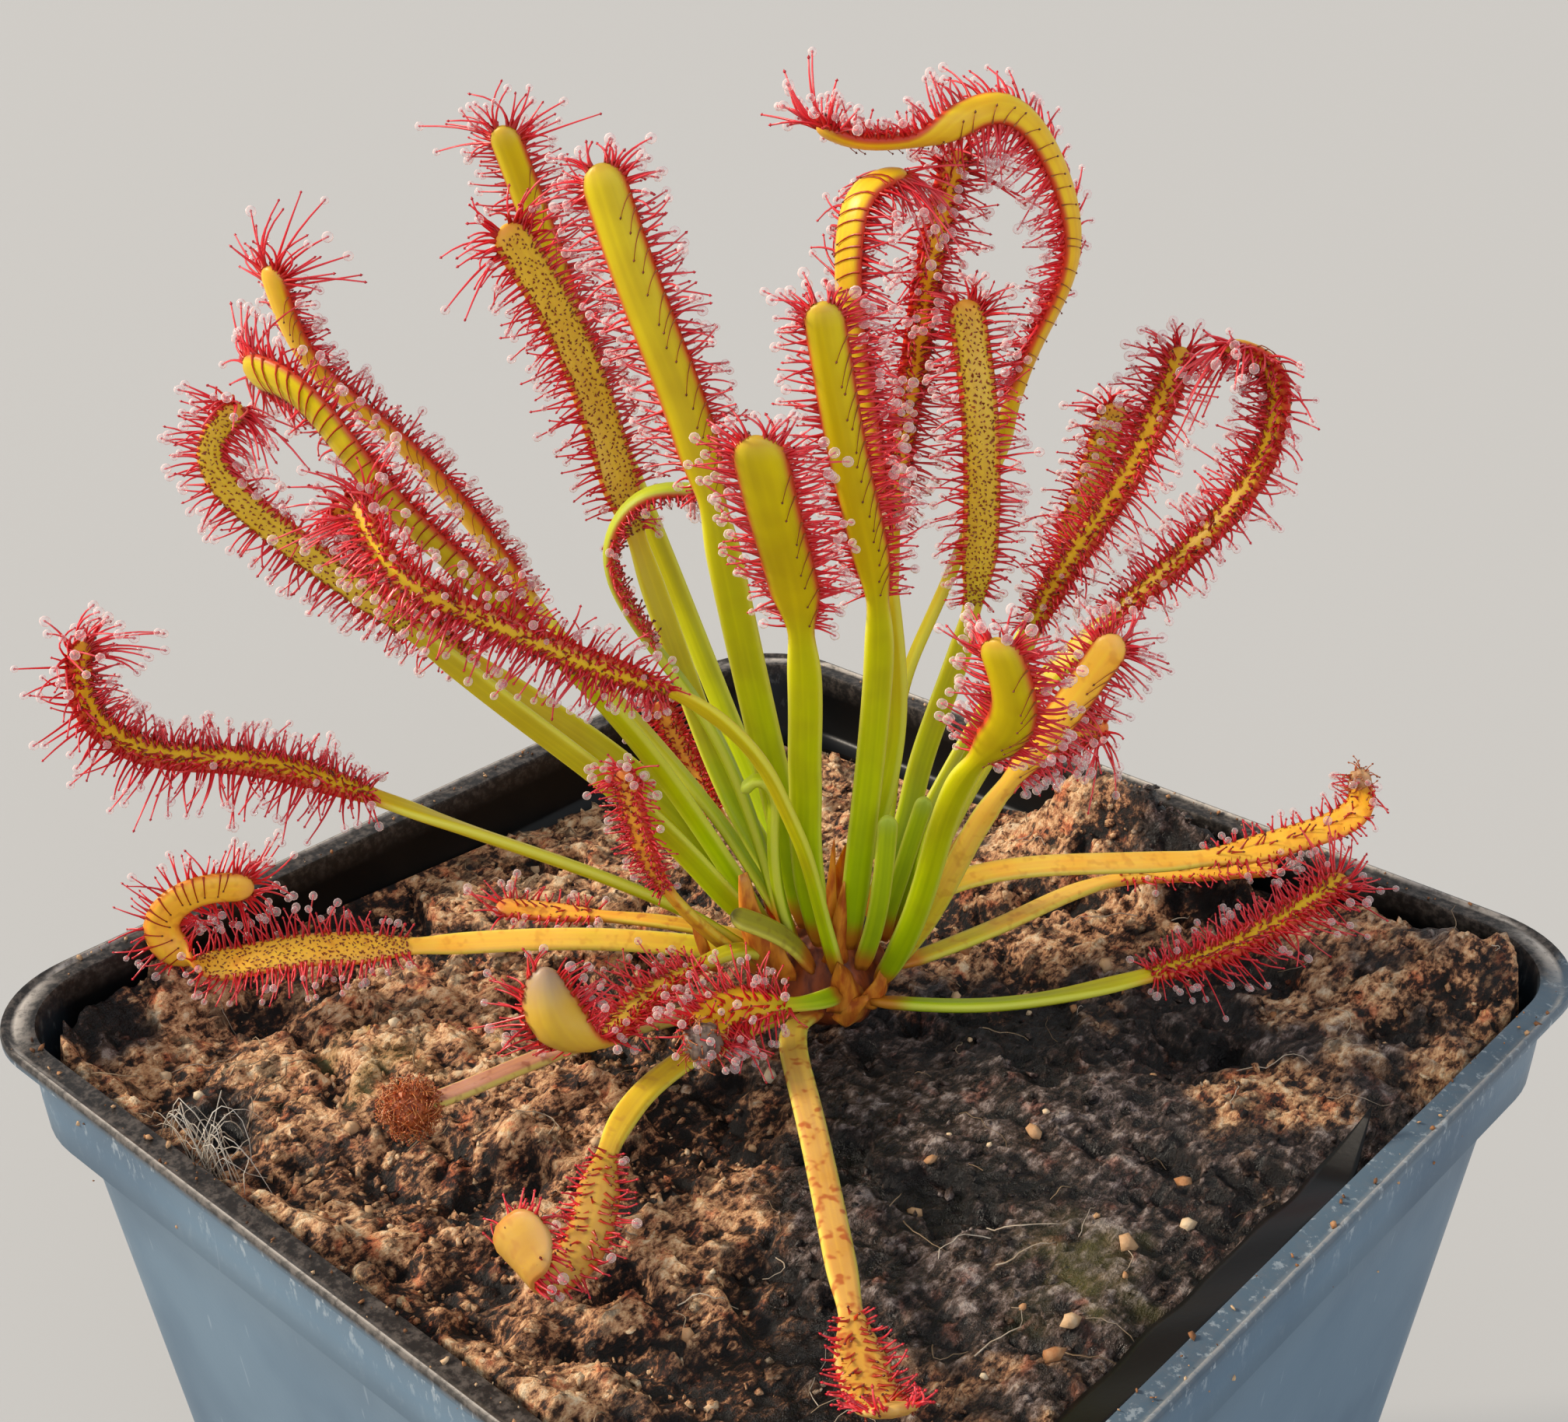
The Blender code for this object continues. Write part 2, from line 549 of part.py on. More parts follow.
def widths(leaf, length, along):
    """Width and thickness at distances along a leaf: foot, petiole, neck, blade and rounded tip."""
    foot = np.clip(along / 6, 0, 1)
    width = BASE_WIDTH + (leaf.petiole - BASE_WIDTH) * foot
    thick = np.full_like(along, PETIOLE_THICK)
    from_tip = length - along
    if leaf.blade:
        opened = np.clip((leaf.blade_length - from_tip) / 4, 0, 1)
        neck = 1 - 0.25 * np.exp(-((from_tip - leaf.blade_length) / 2.5) ** 2)
        width = (width + (leaf.blade - width) * opened) * neck
        thick = thick + (BLADE_THICK - PETIOLE_THICK) * opened
    tip_run = leaf.blade * 0.6 if leaf.blade else 1.0
    closing = np.clip(from_tip / tip_run, 0, 1)
    rounding = TIP_SHARE + (1 - TIP_SHARE) * np.sqrt(1 - (1 - closing) ** 2)
    starting = 0.7 + 0.3 * np.clip(along / 1.2, 0, 1)
    return width * rounding * starting, thick * (0.6 + 0.4 * rounding) * starting


def neighbours(path, owner, reach):
    """Index pairs of stations on different leaves that lie within reach of each other."""
    first, second = [], []
    for i in range(len(path)):
        near = np.nonzero(np.linalg.norm(path[i + 1:] - path[i], axis=1) < reach)[0] + i + 1
        near = near[owner[near] != owner[i]]
        first.append(np.full(len(near), i))
        second.append(near)
    return np.concatenate(first), np.concatenate(second)


def support(offset, side, face, half_width, half_thick):
    """How far an elliptical section reaches in the direction of an offset."""
    along = unit(offset)
    across = half_width * np.sum(along * side, -1)
    through = half_thick * np.sum(along * face, -1)
    return np.hypot(across, through)


def settle(leaves):
    """The leaves' routes after their petioles have pressed each other apart.

    Each round moves stations of two leaves that are too close apart along the line between
    them, smooths the moves along each leaf, and keeps every foot on the crown's dome and
    every leaf over the soil.
    """
    paths = {name: spline(leaf.route, SETTLE_STEP) for name, leaf in leaves.items()}
    names = list(paths)
    sizes = [len(paths[name]) for name in names]
    ends = np.cumsum(sizes)
    runs = [slice(end - size, end) for end, size in zip(ends, sizes)]
    owner = np.repeat(np.arange(len(names)), sizes)
    path = np.concatenate([paths[name] for name in names])
    pairs = None
    for turn in range(SETTLE_ROUNDS):
        side, face = np.zeros_like(path), np.zeros_like(path)
        half_width, half_thick = np.zeros(len(path)), np.zeros(len(path))
        for name, run in zip(names, runs):
            leaf, own = leaves[name], path[run]
            length = length_of(own)
            along = np.linspace(0, length, len(own))
            share = 1 - leaf.blade_length / length
            _, side[run], face[run] = frames(own, leaf.face, share)
            width, thick = widths(leaf, length, along)
            half_width[run], half_thick[run] = width / 2, 0.62 * thick
        if turn % 10 == 0:
            pairs = neighbours(path, owner, 5.5)
        first, second = pairs
        offset = path[first] - path[second]
        distance = np.linalg.norm(offset, axis=1)
        room = (support(offset, side[first], face[first], half_width[first], half_thick[first])
                + support(offset, side[second], face[second], half_width[second], half_thick[second]))
        lack = np.maximum(room + SETTLE_GAP - distance, 0)
        push = unit(offset) * (0.5 * lack)[:, None]
        move = np.zeros_like(path)
        weight = np.zeros(len(path))
        for ends_at, sign in ((first, 1), (second, -1)):
            np.add.at(move, ends_at, sign * push * lack[:, None])
            np.add.at(weight, ends_at, lack)
        move /= np.maximum(weight, 1e-6)[:, None]
        for run in runs:
            own = move[run]
            for _ in range(6):
                padded = np.concatenate([own[:1], own, own[-1:]])
                own = 0.25 * padded[:-2] + 0.5 * padded[1:-1] + 0.25 * padded[2:]
            path[run] += 1.3 * own
            path[run] = keep_on_crown(path[run])
        path = keep_over_soil(path, half_thick)
    return {name: path[run] for name, run in zip(names, runs)}


def keep_on_crown(path):
    """A path whose first point lies just outside the crown's dome and whose rest stays out of it."""
    low = path.copy()
    radii = np.array([CROWN_RADIUS, CROWN_RADIUS, CROWN_HEIGHT])
    foot = low[0] / (radii + 0.55)
    foot[2] = max(foot[2], 0.25)
    shift = unit(foot[None])[0] * (radii + 0.55) - low[0]
    fade = np.exp(-np.arange(len(low)) * SETTLE_STEP / 4.0)
    low += fade[:, None] * shift
    reach = radii + 0.95
    scaled = np.linalg.norm(low / reach, axis=1)
    inside = (scaled < 1) & (np.arange(len(low)) > 2)
    low[inside] /= scaled[inside, None]
    return low


def keep_over_soil(path, half_thick):
    """Points lifted where they would sink into the soil."""
    floor = soil_height(to_world_xy(path)) + half_thick + 0.5
    raised = path.copy()
    raised[:, 2] = np.maximum(raised[:, 2], floor)
    return raised


def leaf_stations(leaf, path):
    """A leaf's route at fewer places: closer together where it bends and at its two ends."""
    fine = resample(path, 4 * len(path))
    tangent = unit(np.gradient(fine, axis=0))
    cosine = np.clip(np.sum(tangent[1:] * tangent[:-1], axis=1), -1, 1)
    turn = np.degrees(np.arccos(cosine))
    step = np.linalg.norm(np.diff(fine, axis=0), axis=1)
    length = step.sum()
    along = np.concatenate([[0], np.cumsum(step)])
    middle = (along[1:] + along[:-1]) / 2
    near_tip = np.exp(-(length - middle) / 1.5)
    near_neck = np.exp(-((length - middle - leaf.blade_length) / 4) ** 2) if leaf.blade else 0
    weight = step * (1 / STATION_LENGTH + 0.5 * near_tip + 0.15 * near_neck) + turn / STATION_TURN
    running = np.concatenate([[0], np.cumsum(weight)])
    count = max(6, math.ceil(running[-1]) + 1)
    places = np.interp(np.linspace(0, running[-1], count), running, along)
    return np.stack([np.interp(places, along, fine[:, k]) for k in range(3)], -1), places, length


def leaf_body(leaf, path):
    """Rings of the leaf's six-sided section: flat sticky face, keeled back."""
    stations, places, length = leaf_stations(leaf, path)
    share = 1 - leaf.blade_length / length
    fine = frames(path, leaf.face, share)
    even = np.linspace(0, length, len(path))
    side, face = (unit(np.stack([np.interp(places, even, part[:, k]) for k in range(3)], -1))
                  for part in fine[1:])
    width, thick = widths(leaf, length, places)
    corners = ((0.5, 0), (0.25, -0.6), (-0.25, -0.6), (-0.5, 0), (-0.28, 0.4), (0.28, 0.4))
    rings = [np.array([station + side[i] * width[i] * across + face[i] * thick[i] * up
                       for across, up in corners]) for i, station in enumerate(stations)]
    return rings


def tentacle_choices(leaf, path, rng):
    """Roots and tips of a leaf's tentacles: both edges by turns, the face between, and the tip's fan."""
    length = length_of(path)
    share = 1 - leaf.blade_length / length
    tangent, side, face = frames(path, leaf.face, share)
    found = []

    def at(distance):
        i = int(round(distance / length * (len(path) - 1)))
        return path[i], tangent[i], side[i], face[i]

    rows = max(2, round(leaf.blade_length / EDGE_SPACING))
    for row in range(rows):
        place = length - leaf.blade_length + 1.5 + (leaf.blade_length - 2.5) * row / (rows - 1)
        half = widths(leaf, length, np.array([place]))[0][0] / 2
        middle, forward, across, out = at(place)
        grown = 0.75 + 0.25 * math.sin(math.pi * min(row / rows + 0.25, 1))
        sign = 1 if row % 2 else -1
        for turn in (sign, -sign):
            lift = rng.uniform(0.1, 0.6)
            aim = unit((turn * across + lift * out + rng.uniform(-0.1, 0.35) * forward)[None])[0]
            found.append((middle + turn * 0.45 * half * across, aim, half * 0.55 + EDGE_LENGTH * grown, out))
        if row % 2 == 0:
            aim = unit((out + rng.uniform(-0.4, 0.4) * across + rng.uniform(-0.2, 0.2) * forward)[None])[0]
            found.append((middle, aim, FACE_LENGTH, across))
    middle, forward, across, out = at(length - 0.8)
    for spread in (-50, 0, 50):
        angle = math.radians(spread + rng.uniform(-8, 8))
        aim = math.cos(angle) * forward + math.sin(angle) * across + 0.25 * out
        found.append((middle - 0.3 * forward, unit(aim[None])[0], TIP_LENGTH, out))
    return found


def tentacle_points(root, aim, length):
    """Five places along a tentacle and how thick it is there."""
    shares = np.array([0.35, 0.55, 0.72, 0.86, 1.0])
    radii = STALK_RADIUS + (DROP_RADIUS - STALK_RADIUS) * np.minimum(shares / 0.86, 1)
    return root + np.outer(shares * length, aim), radii


def is_free(points, radii, name, bodies, placed, dome=True):
    """Whether a tentacle or sheath clears every other leaf, what stands on them, the soil and the pot."""
    world = to_world_xy(points)
    if np.any(points[:, 2] < soil_height(world) + radii + 0.6):
        return False
    outside = np.array([CROWN_RADIUS, CROWN_RADIUS, CROWN_HEIGHT]) + 1.0
    if dome and np.any(np.linalg.norm(points / outside, axis=1) < 1):
        return False
    rim_reach = RIM_SIDE / 2 - LIP_OVERHANG - WALL - 1
    low = points[:, 2] < POT_HEIGHT - SOIL_LEVEL + 1
    if np.any(low & (np.abs(world).max(axis=1) > rim_reach)):
        return False
    for other, (path, side, face, half_width, half_thick) in bodies.items():
        if other == name:
            continue
        offset = points[:, None] - path[None]
        distance = np.linalg.norm(offset, axis=2)
        if distance.min() > 4:
            continue
        room = support(offset, side[None], face[None], half_width[None], half_thick[None])
        if np.any(distance < room + radii[:, None] + TENTACLE_GAP + 0.1):
            return False
    if placed:
        others = np.concatenate([p for _, p, _ in placed])
        reach = np.concatenate([r for _, _, r in placed])
        distance = np.linalg.norm(points[:, None] - others[None], axis=2)
        close = distance < radii[:, None] + reach[None] + TENTACLE_GAP + 0.15
        if np.any(close):
            return False
    return True


def leaf_sections(paths):
    """Each leaf's route with its side and face directions and half sizes, for tests of clearance."""
    bodies = {}
    for name, path in paths.items():
        leaf = LEAVES[name]
        length = length_of(path)
        _, side, face = frames(path, leaf.face, 1 - leaf.blade_length / length)
        width, thick = widths(leaf, length, np.linspace(0, length, len(path)))
        bodies[name] = (path, side, face, width / 2, 0.62 * thick)
    return bodies


def choose_tentacles(paths, bodies, placed):
    """Each leaf's tentacles, bent upright or shortened where they would meet something, or left out."""
    rng = np.random.default_rng(TENTACLE_SEED)
    chosen = {name: [] for name in paths}
    for name, path in paths.items():
        if not LEAVES[name].blade:
            continue
        for root, aim, length, toward in tentacle_choices(LEAVES[name], path, rng):
            for bend, share in ((0, 1), (0.6, 1), (-0.5, 1), (0.3, 0.75), (-0.3, 0.75), (1.2, 0.7)):
                bent = unit((aim + bend * toward)[None])[0]
                points, radii = tentacle_points(root, bent, length * share)
                if is_free(points, radii, name, bodies, placed):
                    placed.append((name, points, radii))
                    chosen[name].append((root, bent, length * share))
                    break
    return chosen


def add_tentacle(root, aim, length, collection, parent):
    """A three-sided needle that widens to its drop and ends in a point."""
    across = np.cross(aim, (0, 0, 1) if abs(aim[2]) < 0.9 else (1, 0, 0))
    across = across / np.linalg.norm(across)
    up = np.cross(aim, across)
    corners = [math.cos(a) * across + math.sin(a) * up for a in (0, 2 * math.pi / 3, 4 * math.pi / 3)]
    low = [root + STALK_RADIUS * corner for corner in corners]
    high = [root + 0.84 * length * aim + DROP_RADIUS * corner for corner in corners]
    verts = low + high + [root + length * aim]
    faces = [(2, 1, 0), (0, 1, 4, 3), (1, 2, 5, 4), (2, 0, 3, 5), (3, 4, 6), (4, 5, 6), (5, 3, 6)]
    mesh_object("tentacle", verts, faces, "green", collection, parent)


def add_ball(middle, radius, finish, collection, parent):
    """A shrivelled blade rolled into a ball."""
    bm = bmesh.new()
    place = Matrix.Translation(Vector(middle) * MM)
    bmesh.ops.create_icosphere(bm, subdivisions=2, radius=radius * MM, matrix=place)
    rng = np.random.default_rng(int(radius * 100))
    for vert in bm.verts:
        vert.co += (vert.co - Vector(middle) * MM) * float(rng.uniform(-0.18, 0.12))
    mesh = bpy.data.meshes.new("ball")
    bm.to_mesh(mesh)
    bm.free()
    ball = bpy.data.objects.new("ball", mesh)
    ball.parent = parent
    mesh.materials.append(material(finish))
    collection.objects.link(ball)


def build_leaf(name, path, tentacles, collection, parent):
    """One leaf: petiole and blade in one loft, with its tentacles joined to it."""
    leaf = LEAVES[name]
    verts, faces = loft(leaf_body(leaf, path))
    obj = mesh_object("leaf_" + name, verts, faces, leaf.finish, collection, parent)
    extras = new_collection("extras")
    for root, aim, length in tentacles:
        add_tentacle(root, aim, length, extras, parent)
    if name in WITHERED_TIPS:
        add_ball(path[-1], WITHERED_TIPS[name], "withered", extras, parent)
    if len(extras.objects):
        boolean(obj, extras, "UNION", "MANIFOLD")
    remove_collection(extras)
    smooth(obj)
    return obj


def sheath_across(root, aim):
    """The direction of a sheath's width: level, and square to its length."""
    across = np.cross(aim, (root[0], root[1], 0))
    return across / np.linalg.norm(across)


def choose_sheaths(bodies, placed):
    """Roots, aims and lengths of the dry sheaths that stand in the gaps between the petioles."""
    rng = np.random.default_rng(SHEATH_SEED)
    radii = np.array([CROWN_RADIUS, CROWN_RADIUS, CROWN_HEIGHT])
    found = []
    for _ in range(SHEATH_TRIES):
        angle, rise = rng.uniform(0, 2 * math.pi), math.radians(rng.uniform(10, 60))
        out = np.array([math.cos(rise) * math.cos(angle), math.cos(rise) * math.sin(angle), math.sin(rise)])
        aim = unit((out + (0, 0, rng.uniform(0.3, 1.5)))[None])[0]
        root = out * radii * 0.85
        length = rng.uniform(4, 8)
        shares = np.array([0.3, 0.5, 0.7, 0.85, 1.0])
        half = SHEATH_WIDTH / 2 * (1.15 - shares)[:, None] * sheath_across(root, aim)
        middle = root + np.outer(shares * length, aim)
        points = np.concatenate([middle - half, middle, middle + half])
        reach = np.full(len(points), SHEATH_THICK / 2)
        if is_free(points, reach, "sheath", bodies, placed, dome=False):
            placed.append(("sheath", points, reach))
            found.append((root, aim, length))
        if len(found) == SHEATH_COUNT:
            break
    return found


def add_sheath(root, aim, length, collection, parent):
    """A dry sheath: a flat blade that narrows to a point."""
    across = sheath_across(root, aim)
    out = np.cross(across, aim)
    rings = []
    for share, width in ((0, 1), (0.55, 0.7), (1, 0.15)):
        middle = root + share * length * aim
        half, thick = SHEATH_WIDTH / 2 * width, SHEATH_THICK / 2 * (0.4 + 0.6 * width)
        rings.append(np.array([middle + half * across, middle + thick * out,
                               middle - half * across, middle - thick * out]))
    verts, faces = loft(rings)
    mesh_object("sheath", verts, faces, "crown", collection, parent)


def build_crown(sheaths, collection, parent):
    """The crown: a turned dome on its stock, with dry leaf sheaths joined to it."""
    profile = [(0, CROWN_HEIGHT), (0.45 * CROWN_RADIUS, 0.91 * CROWN_HEIGHT),
               (0.78 * CROWN_RADIUS, 0.65 * CROWN_HEIGHT), (0.97 * CROWN_RADIUS, 0.3 * CROWN_HEIGHT),
               (CROWN_RADIUS, 0.08 * CROWN_HEIGHT), (0.9 * CROWN_RADIUS, 0), (STOCK_RADIUS, 0),
               (STOCK_RADIUS, -STOCK_DEPTH), (0, -STOCK_DEPTH)]
    mesh = bpy.data.meshes.new("crown")
    mesh.from_pydata([(r * MM, 0, z * MM) for r, z in profile], [(i, i + 1) for i in range(len(profile) - 1)], [])
    mesh.materials.append(material("crown"))
    crown = bpy.data.objects.new("crown", mesh)
    crown.parent = parent
    collection.objects.link(crown)
    screw = crown.modifiers.new("turn", "SCREW")
    screw.steps = screw.render_steps = 16
    screw.use_merge_vertices = True
    screw.merge_threshold = 0.00001
    graph = bpy.context.evaluated_depsgraph_get()
    turned = bpy.data.meshes.new_from_object(crown.evaluated_get(graph))
    crown.modifiers.remove(screw)
    crown.data = turned
    extras = new_collection("sheaths")
    for root, aim, length in sheaths:
        add_sheath(root, aim, length, extras, parent)
    boolean(crown, extras, "UNION")
    remove_collection(extras)
    smooth(crown)
    return crown


def build_plant(collection):
    """The crown and its leaves, under an empty that stands at the crown."""
    frame = bpy.data.objects.new("plant_frame", None)
    frame.location = (CROWN_X * MM, CROWN_Y * MM, SOIL_LEVEL * MM)
    frame.rotation_euler = (0, 0, math.radians(PLANT_TURN))
    collection.objects.link(frame)
    bpy.context.view_layer.update()
    paths = settle(LEAVES)
    bodies, placed = leaf_sections(paths), []
    build_crown(choose_sheaths(bodies, placed), collection, frame)
    tentacles = choose_tentacles(paths, bodies, placed)
    for name, path in paths.items():
        build_leaf(name, path, tentacles[name], collection, frame)


def main():
    """Build the potted sundew."""
    remove_old_objects()
    collection = new_collection("potted_sundew")
    build_pot(collection)
    build_soil(collection)
    build_plant(collection)
    bpy.context.view_layer.update()


main()
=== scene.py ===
"""Potted sundew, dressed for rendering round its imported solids.

Sizes are in millimetres and turned to metres where a mesh is made. The plant's own frame is
right, back and up from its crown. The world's origin is the middle of the pot's base.
"""

import logging
import math
from dataclasses import dataclass, field
from enum import Enum
from functools import cache
from typing import Iterable, NamedTuple, Sequence

import bpy
import numpy as np
from mathutils import Matrix, Vector


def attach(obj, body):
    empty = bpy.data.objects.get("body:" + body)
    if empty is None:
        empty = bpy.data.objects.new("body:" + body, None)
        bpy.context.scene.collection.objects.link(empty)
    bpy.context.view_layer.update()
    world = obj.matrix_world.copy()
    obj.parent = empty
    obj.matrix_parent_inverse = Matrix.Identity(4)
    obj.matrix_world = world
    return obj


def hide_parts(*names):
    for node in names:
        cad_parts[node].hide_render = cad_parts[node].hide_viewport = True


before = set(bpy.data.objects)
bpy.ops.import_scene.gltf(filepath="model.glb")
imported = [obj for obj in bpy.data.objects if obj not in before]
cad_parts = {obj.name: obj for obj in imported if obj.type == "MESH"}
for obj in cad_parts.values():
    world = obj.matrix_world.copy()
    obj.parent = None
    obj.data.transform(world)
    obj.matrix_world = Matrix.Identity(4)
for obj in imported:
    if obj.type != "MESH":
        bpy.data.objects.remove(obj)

MM = 0.001
LOG = logging.getLogger("sundew")
Array = np.ndarray
Rng = np.random.Generator
Material = bpy.types.Material
Stops = Sequence[tuple[float, str]]
Value = float | str | Sequence[float] | bpy.types.NodeSocket


def linear(hex_code: str) -> tuple[float, float, float, float]:
    """An sRGB hex colour as linear red, green and blue, with alpha 1.

    Formula: c / 12.92 up to 0.04045, and ((c + 0.055) / 1.055) to the power 2.4 above it.
    """
    parts = [int(hex_code[i:i + 2], 16) / 255 for i in (1, 3, 5)]
    return (*(c / 12.92 if c <= 0.04045 else ((c + 0.055) / 1.055) ** 2.4 for c in parts), 1.0)


def per_metre(size_mm: float) -> float:
    """A texture scale whose pattern repeats about every size_mm on Object coordinates."""
    return 1 / (size_mm * MM)


class Kind(Enum):
    """The shader nodes in use: type, inputs in the order given, output, settings and usual values."""

    PLACE = ("TexCoord", (), "Object", {}, {})
    MARK = ("Attribute", (), "Fac", {}, {})
    FACING = ("LayerWeight", ("Blend",), "Facing", {}, {})
    JOIN = ("CombineXYZ", ("X", "Y"), 0, {}, {})
    MAPPING = ("Mapping", ("Vector", "Scale", "Rotation"), 0, {}, {})
    ADD = ("Math", (0, 1), 0, {"operation": "ADD"}, {})
    SUBTRACT = ("Math", (0, 1), 0, {"operation": "SUBTRACT"}, {})
    MULTIPLY = ("Math", (0, 1), 0, {"operation": "MULTIPLY"}, {})
    MAXIMUM = ("Math", (0, 1), 0, {"operation": "MAXIMUM"}, {})
    ABSOLUTE = ("Math", (0,), 0, {"operation": "ABSOLUTE"}, {})
    RAMP = ("MapRange", (0, 1, 2, 3, 4), 0, {"interpolation_type": "SMOOTHSTEP"}, {})
    NOISE = ("TexNoise", ("Vector", "Scale", "Detail", "Roughness"), "Fac", {}, {"Detail": 3.0, "Roughness": 0.55})
    PICK = ("ValToRGB", ("Fac",), 0, {}, {})
    MIX = ("Mix", (0, 6, 7), 2, {"data_type": "RGBA"}, {})
    BUMP = ("Bump", ("Height", "Distance", "Strength", "Normal"), 0, {}, {})


class Recipe:
    """A material under construction: its nodes and its Principled shader."""

    def __init__(self, name: str) -> None:
        """Start a material with one Principled shader.

        Args:
            name: the material's name.
        """
        self.material = bpy.data.materials.new(name)
        self.material.use_nodes = True
        self.tree = self.material.node_tree
        self.shader = self.tree.nodes["Principled BSDF"]

    def feed(self, socket: bpy.types.NodeSocket, value: Value) -> None:
        """Link a socket to another, or set it to a number or to a hex colour.

        Args:
            socket: the input to feed.
            value: what it gets.
        """
        if isinstance(value, bpy.types.NodeSocket):
            self.tree.links.new(value, socket)
        else:
            socket.default_value = linear(value) if isinstance(value, str) else value

    def add(self, kind: Kind, *values: Value, stops: Stops = (), **settings: Value) -> bpy.types.NodeSocket:
        """Add a node with its settings and links.

        Args:
            kind: which node.
            values: a number, a hex colour or a socket for each of its inputs in turn.
            stops: places and hex colours, for a colour ramp.
            settings: the node's own properties.

        Returns:
            Its output socket.
        """
        name, slots, output, own, usual = kind.value
        node = self.tree.nodes.new("ShaderNode" + name)
        for key, value in {**own, **settings}.items():
            setattr(node, key, value)
        for key, value in {**usual, **dict(zip(slots, values))}.items():
            self.feed(node.inputs[key], value)
        for number, (place, colour) in enumerate(stops):
            elements = node.color_ramp.elements
            element = elements[number] if number < 2 else elements.new(place)
            element.position = place
            element.color = linear(colour)
        return node.outputs[output]

    def finish(self, colour: Value, roughness: Value, normal: Value | None = None, **sockets: Value) -> Material:
        """Feed the shader and return the material.

        Args:
            colour: a hex colour or a socket.
            roughness: a number or a socket.
            normal: the bump's socket.
            sockets: values by the shader socket's name, with spaces as underscores.

        Returns:
            The finished material.
        """
        wanted = {"Base Color": colour, "Roughness": roughness} | ({"Normal": normal} if normal else {})
        for key, value in (wanted | {key.replace("_", " "): value for key, value in sockets.items()}).items():
            self.feed(self.shader.inputs[key], value)
        return self.material


@dataclass(frozen=True)
class LeafTissue:
    """Living or fading leaf skin: smooth, slightly glossy and lit through.

    Its colour runs from the red foot up the petiole to the blade, with a keel and paler edges,
    a red comb where the tentacles root, flecks and an aged tip.
    """

    name: str
    foot: str
    petiole: str
    blade: str
    margin: str
    tip: str
    fleck: str = "#a4501c"
    fleck_share: float = 0.0
    tip_run: float = 1.2
    rough: float = 0.38
    comb: str = "#cc2a20"
    sheath: str = "#b85a1c"

    @cache
    def material(self) -> Material:
        """Leaf skin, grown smooth: soft gloss from its wax, and light that passes into it.

        Returns:
            The material.
        """
        r = Recipe(self.name)
        place = r.add(Kind.PLACE)
        across, along, opened, to_tip, comb = (
            r.add(Kind.MARK, attribute_name=mark) for mark in ("across", "along", "opened", "to_tip", "comb"))
        patch = r.add(Kind.NOISE, place, per_metre(4.5), 2)
        upward = r.add(Kind.ADD, along, r.add(Kind.MULTIPLY, r.add(Kind.SUBTRACT, patch, 0.5), 14.0))
        # Veins run lengthwise about 0.4 mm apart
        lines = r.add(Kind.JOIN, r.add(Kind.MULTIPLY, across, 2.4), r.add(Kind.MULTIPLY, along, 0.05))
        vein = r.add(Kind.NOISE, lines, 1.0, 1.5)
        reach = r.add(Kind.ABSOLUTE, across)
        edge = r.add(Kind.RAMP, reach, 0.7, 0.98)
        pale = r.add(Kind.MULTIPLY, r.add(Kind.MULTIPLY, edge, r.add(Kind.SUBTRACT, 1.0, opened)), 0.55)
        rim = r.add(Kind.MAXIMUM, edge, r.add(Kind.RAMP, to_tip, 0.7, 0.05))
        # Red roots of the tentacles leave a clear stripe about a third of the blade wide
        grain = r.add(Kind.SUBTRACT, r.add(Kind.NOISE, place, per_metre(0.35), 2), 0.5)
        ragged = r.add(Kind.ADD, reach, r.add(Kind.MULTIPLY, grain, 0.7))
        rooted = r.add(Kind.MULTIPLY, r.add(Kind.RAMP, ragged, 0.42, 0.72, 0, 0.85), r.add(Kind.MULTIPLY, comb, opened))
        speckle = r.add(Kind.NOISE, place, per_metre(0.8), 1)
        from_foot = r.add(Kind.ADD, along, r.add(Kind.MULTIPLY, patch, 2.0))
        from_tip = r.add(Kind.ADD, to_tip, r.add(Kind.MULTIPLY, patch, 1.2))
        colour = self.foot
        for share, over, blend in (
                (r.add(Kind.RAMP, upward, 1, 17), self.petiole, "MIX"),
                (r.add(Kind.RAMP, upward, 6, 34, 0, 0.55), self.blade, "MIX"),
                (opened, self.blade, "MIX"),
                (r.add(Kind.RAMP, vein, 0.4, 0.65, 0, 0.3), "#f6f2b0", "SOFT_LIGHT"),
                (r.add(Kind.RAMP, patch, 0.4, 0.7, 0, 0.4), "#6a6c10", "SOFT_LIGHT"),
                (pale, "#dfe060", "MIX"),
                (r.add(Kind.MULTIPLY, rim, opened), self.margin, "MIX"),
                (rooted, self.comb, "MIX"),
                (r.add(Kind.RAMP, speckle, 0.52, 0.72, 0, self.fleck_share), self.fleck, "MIX"),
                (r.add(Kind.RAMP, from_foot, 4.4, 2.2, 0, 0.8), self.sheath, "MIX"),
                (r.add(Kind.RAMP, from_tip, self.tip_run + 1.2, 0.4, 0, 0.9), self.tip, "MIX")):
            colour = r.add(Kind.MIX, share, colour, over, blend_type=blend)
        fine = r.add(Kind.BUMP, r.add(Kind.NOISE, place, per_metre(0.3)), 0.02 * MM, 0.5)
        rough = r.add(Kind.RAMP, patch, 0.3, 0.7, self.rough, self.rough + 0.12)
        return r.finish(colour, rough, r.add(Kind.BUMP, vein, 0.05 * MM, 0.35, fine), Subsurface_Weight=0.4,
                        Subsurface_Scale=0.0014, Subsurface_Radius=(1.0, 0.9, 0.12), Specular_IOR_Level=0.42, IOR=1.42)


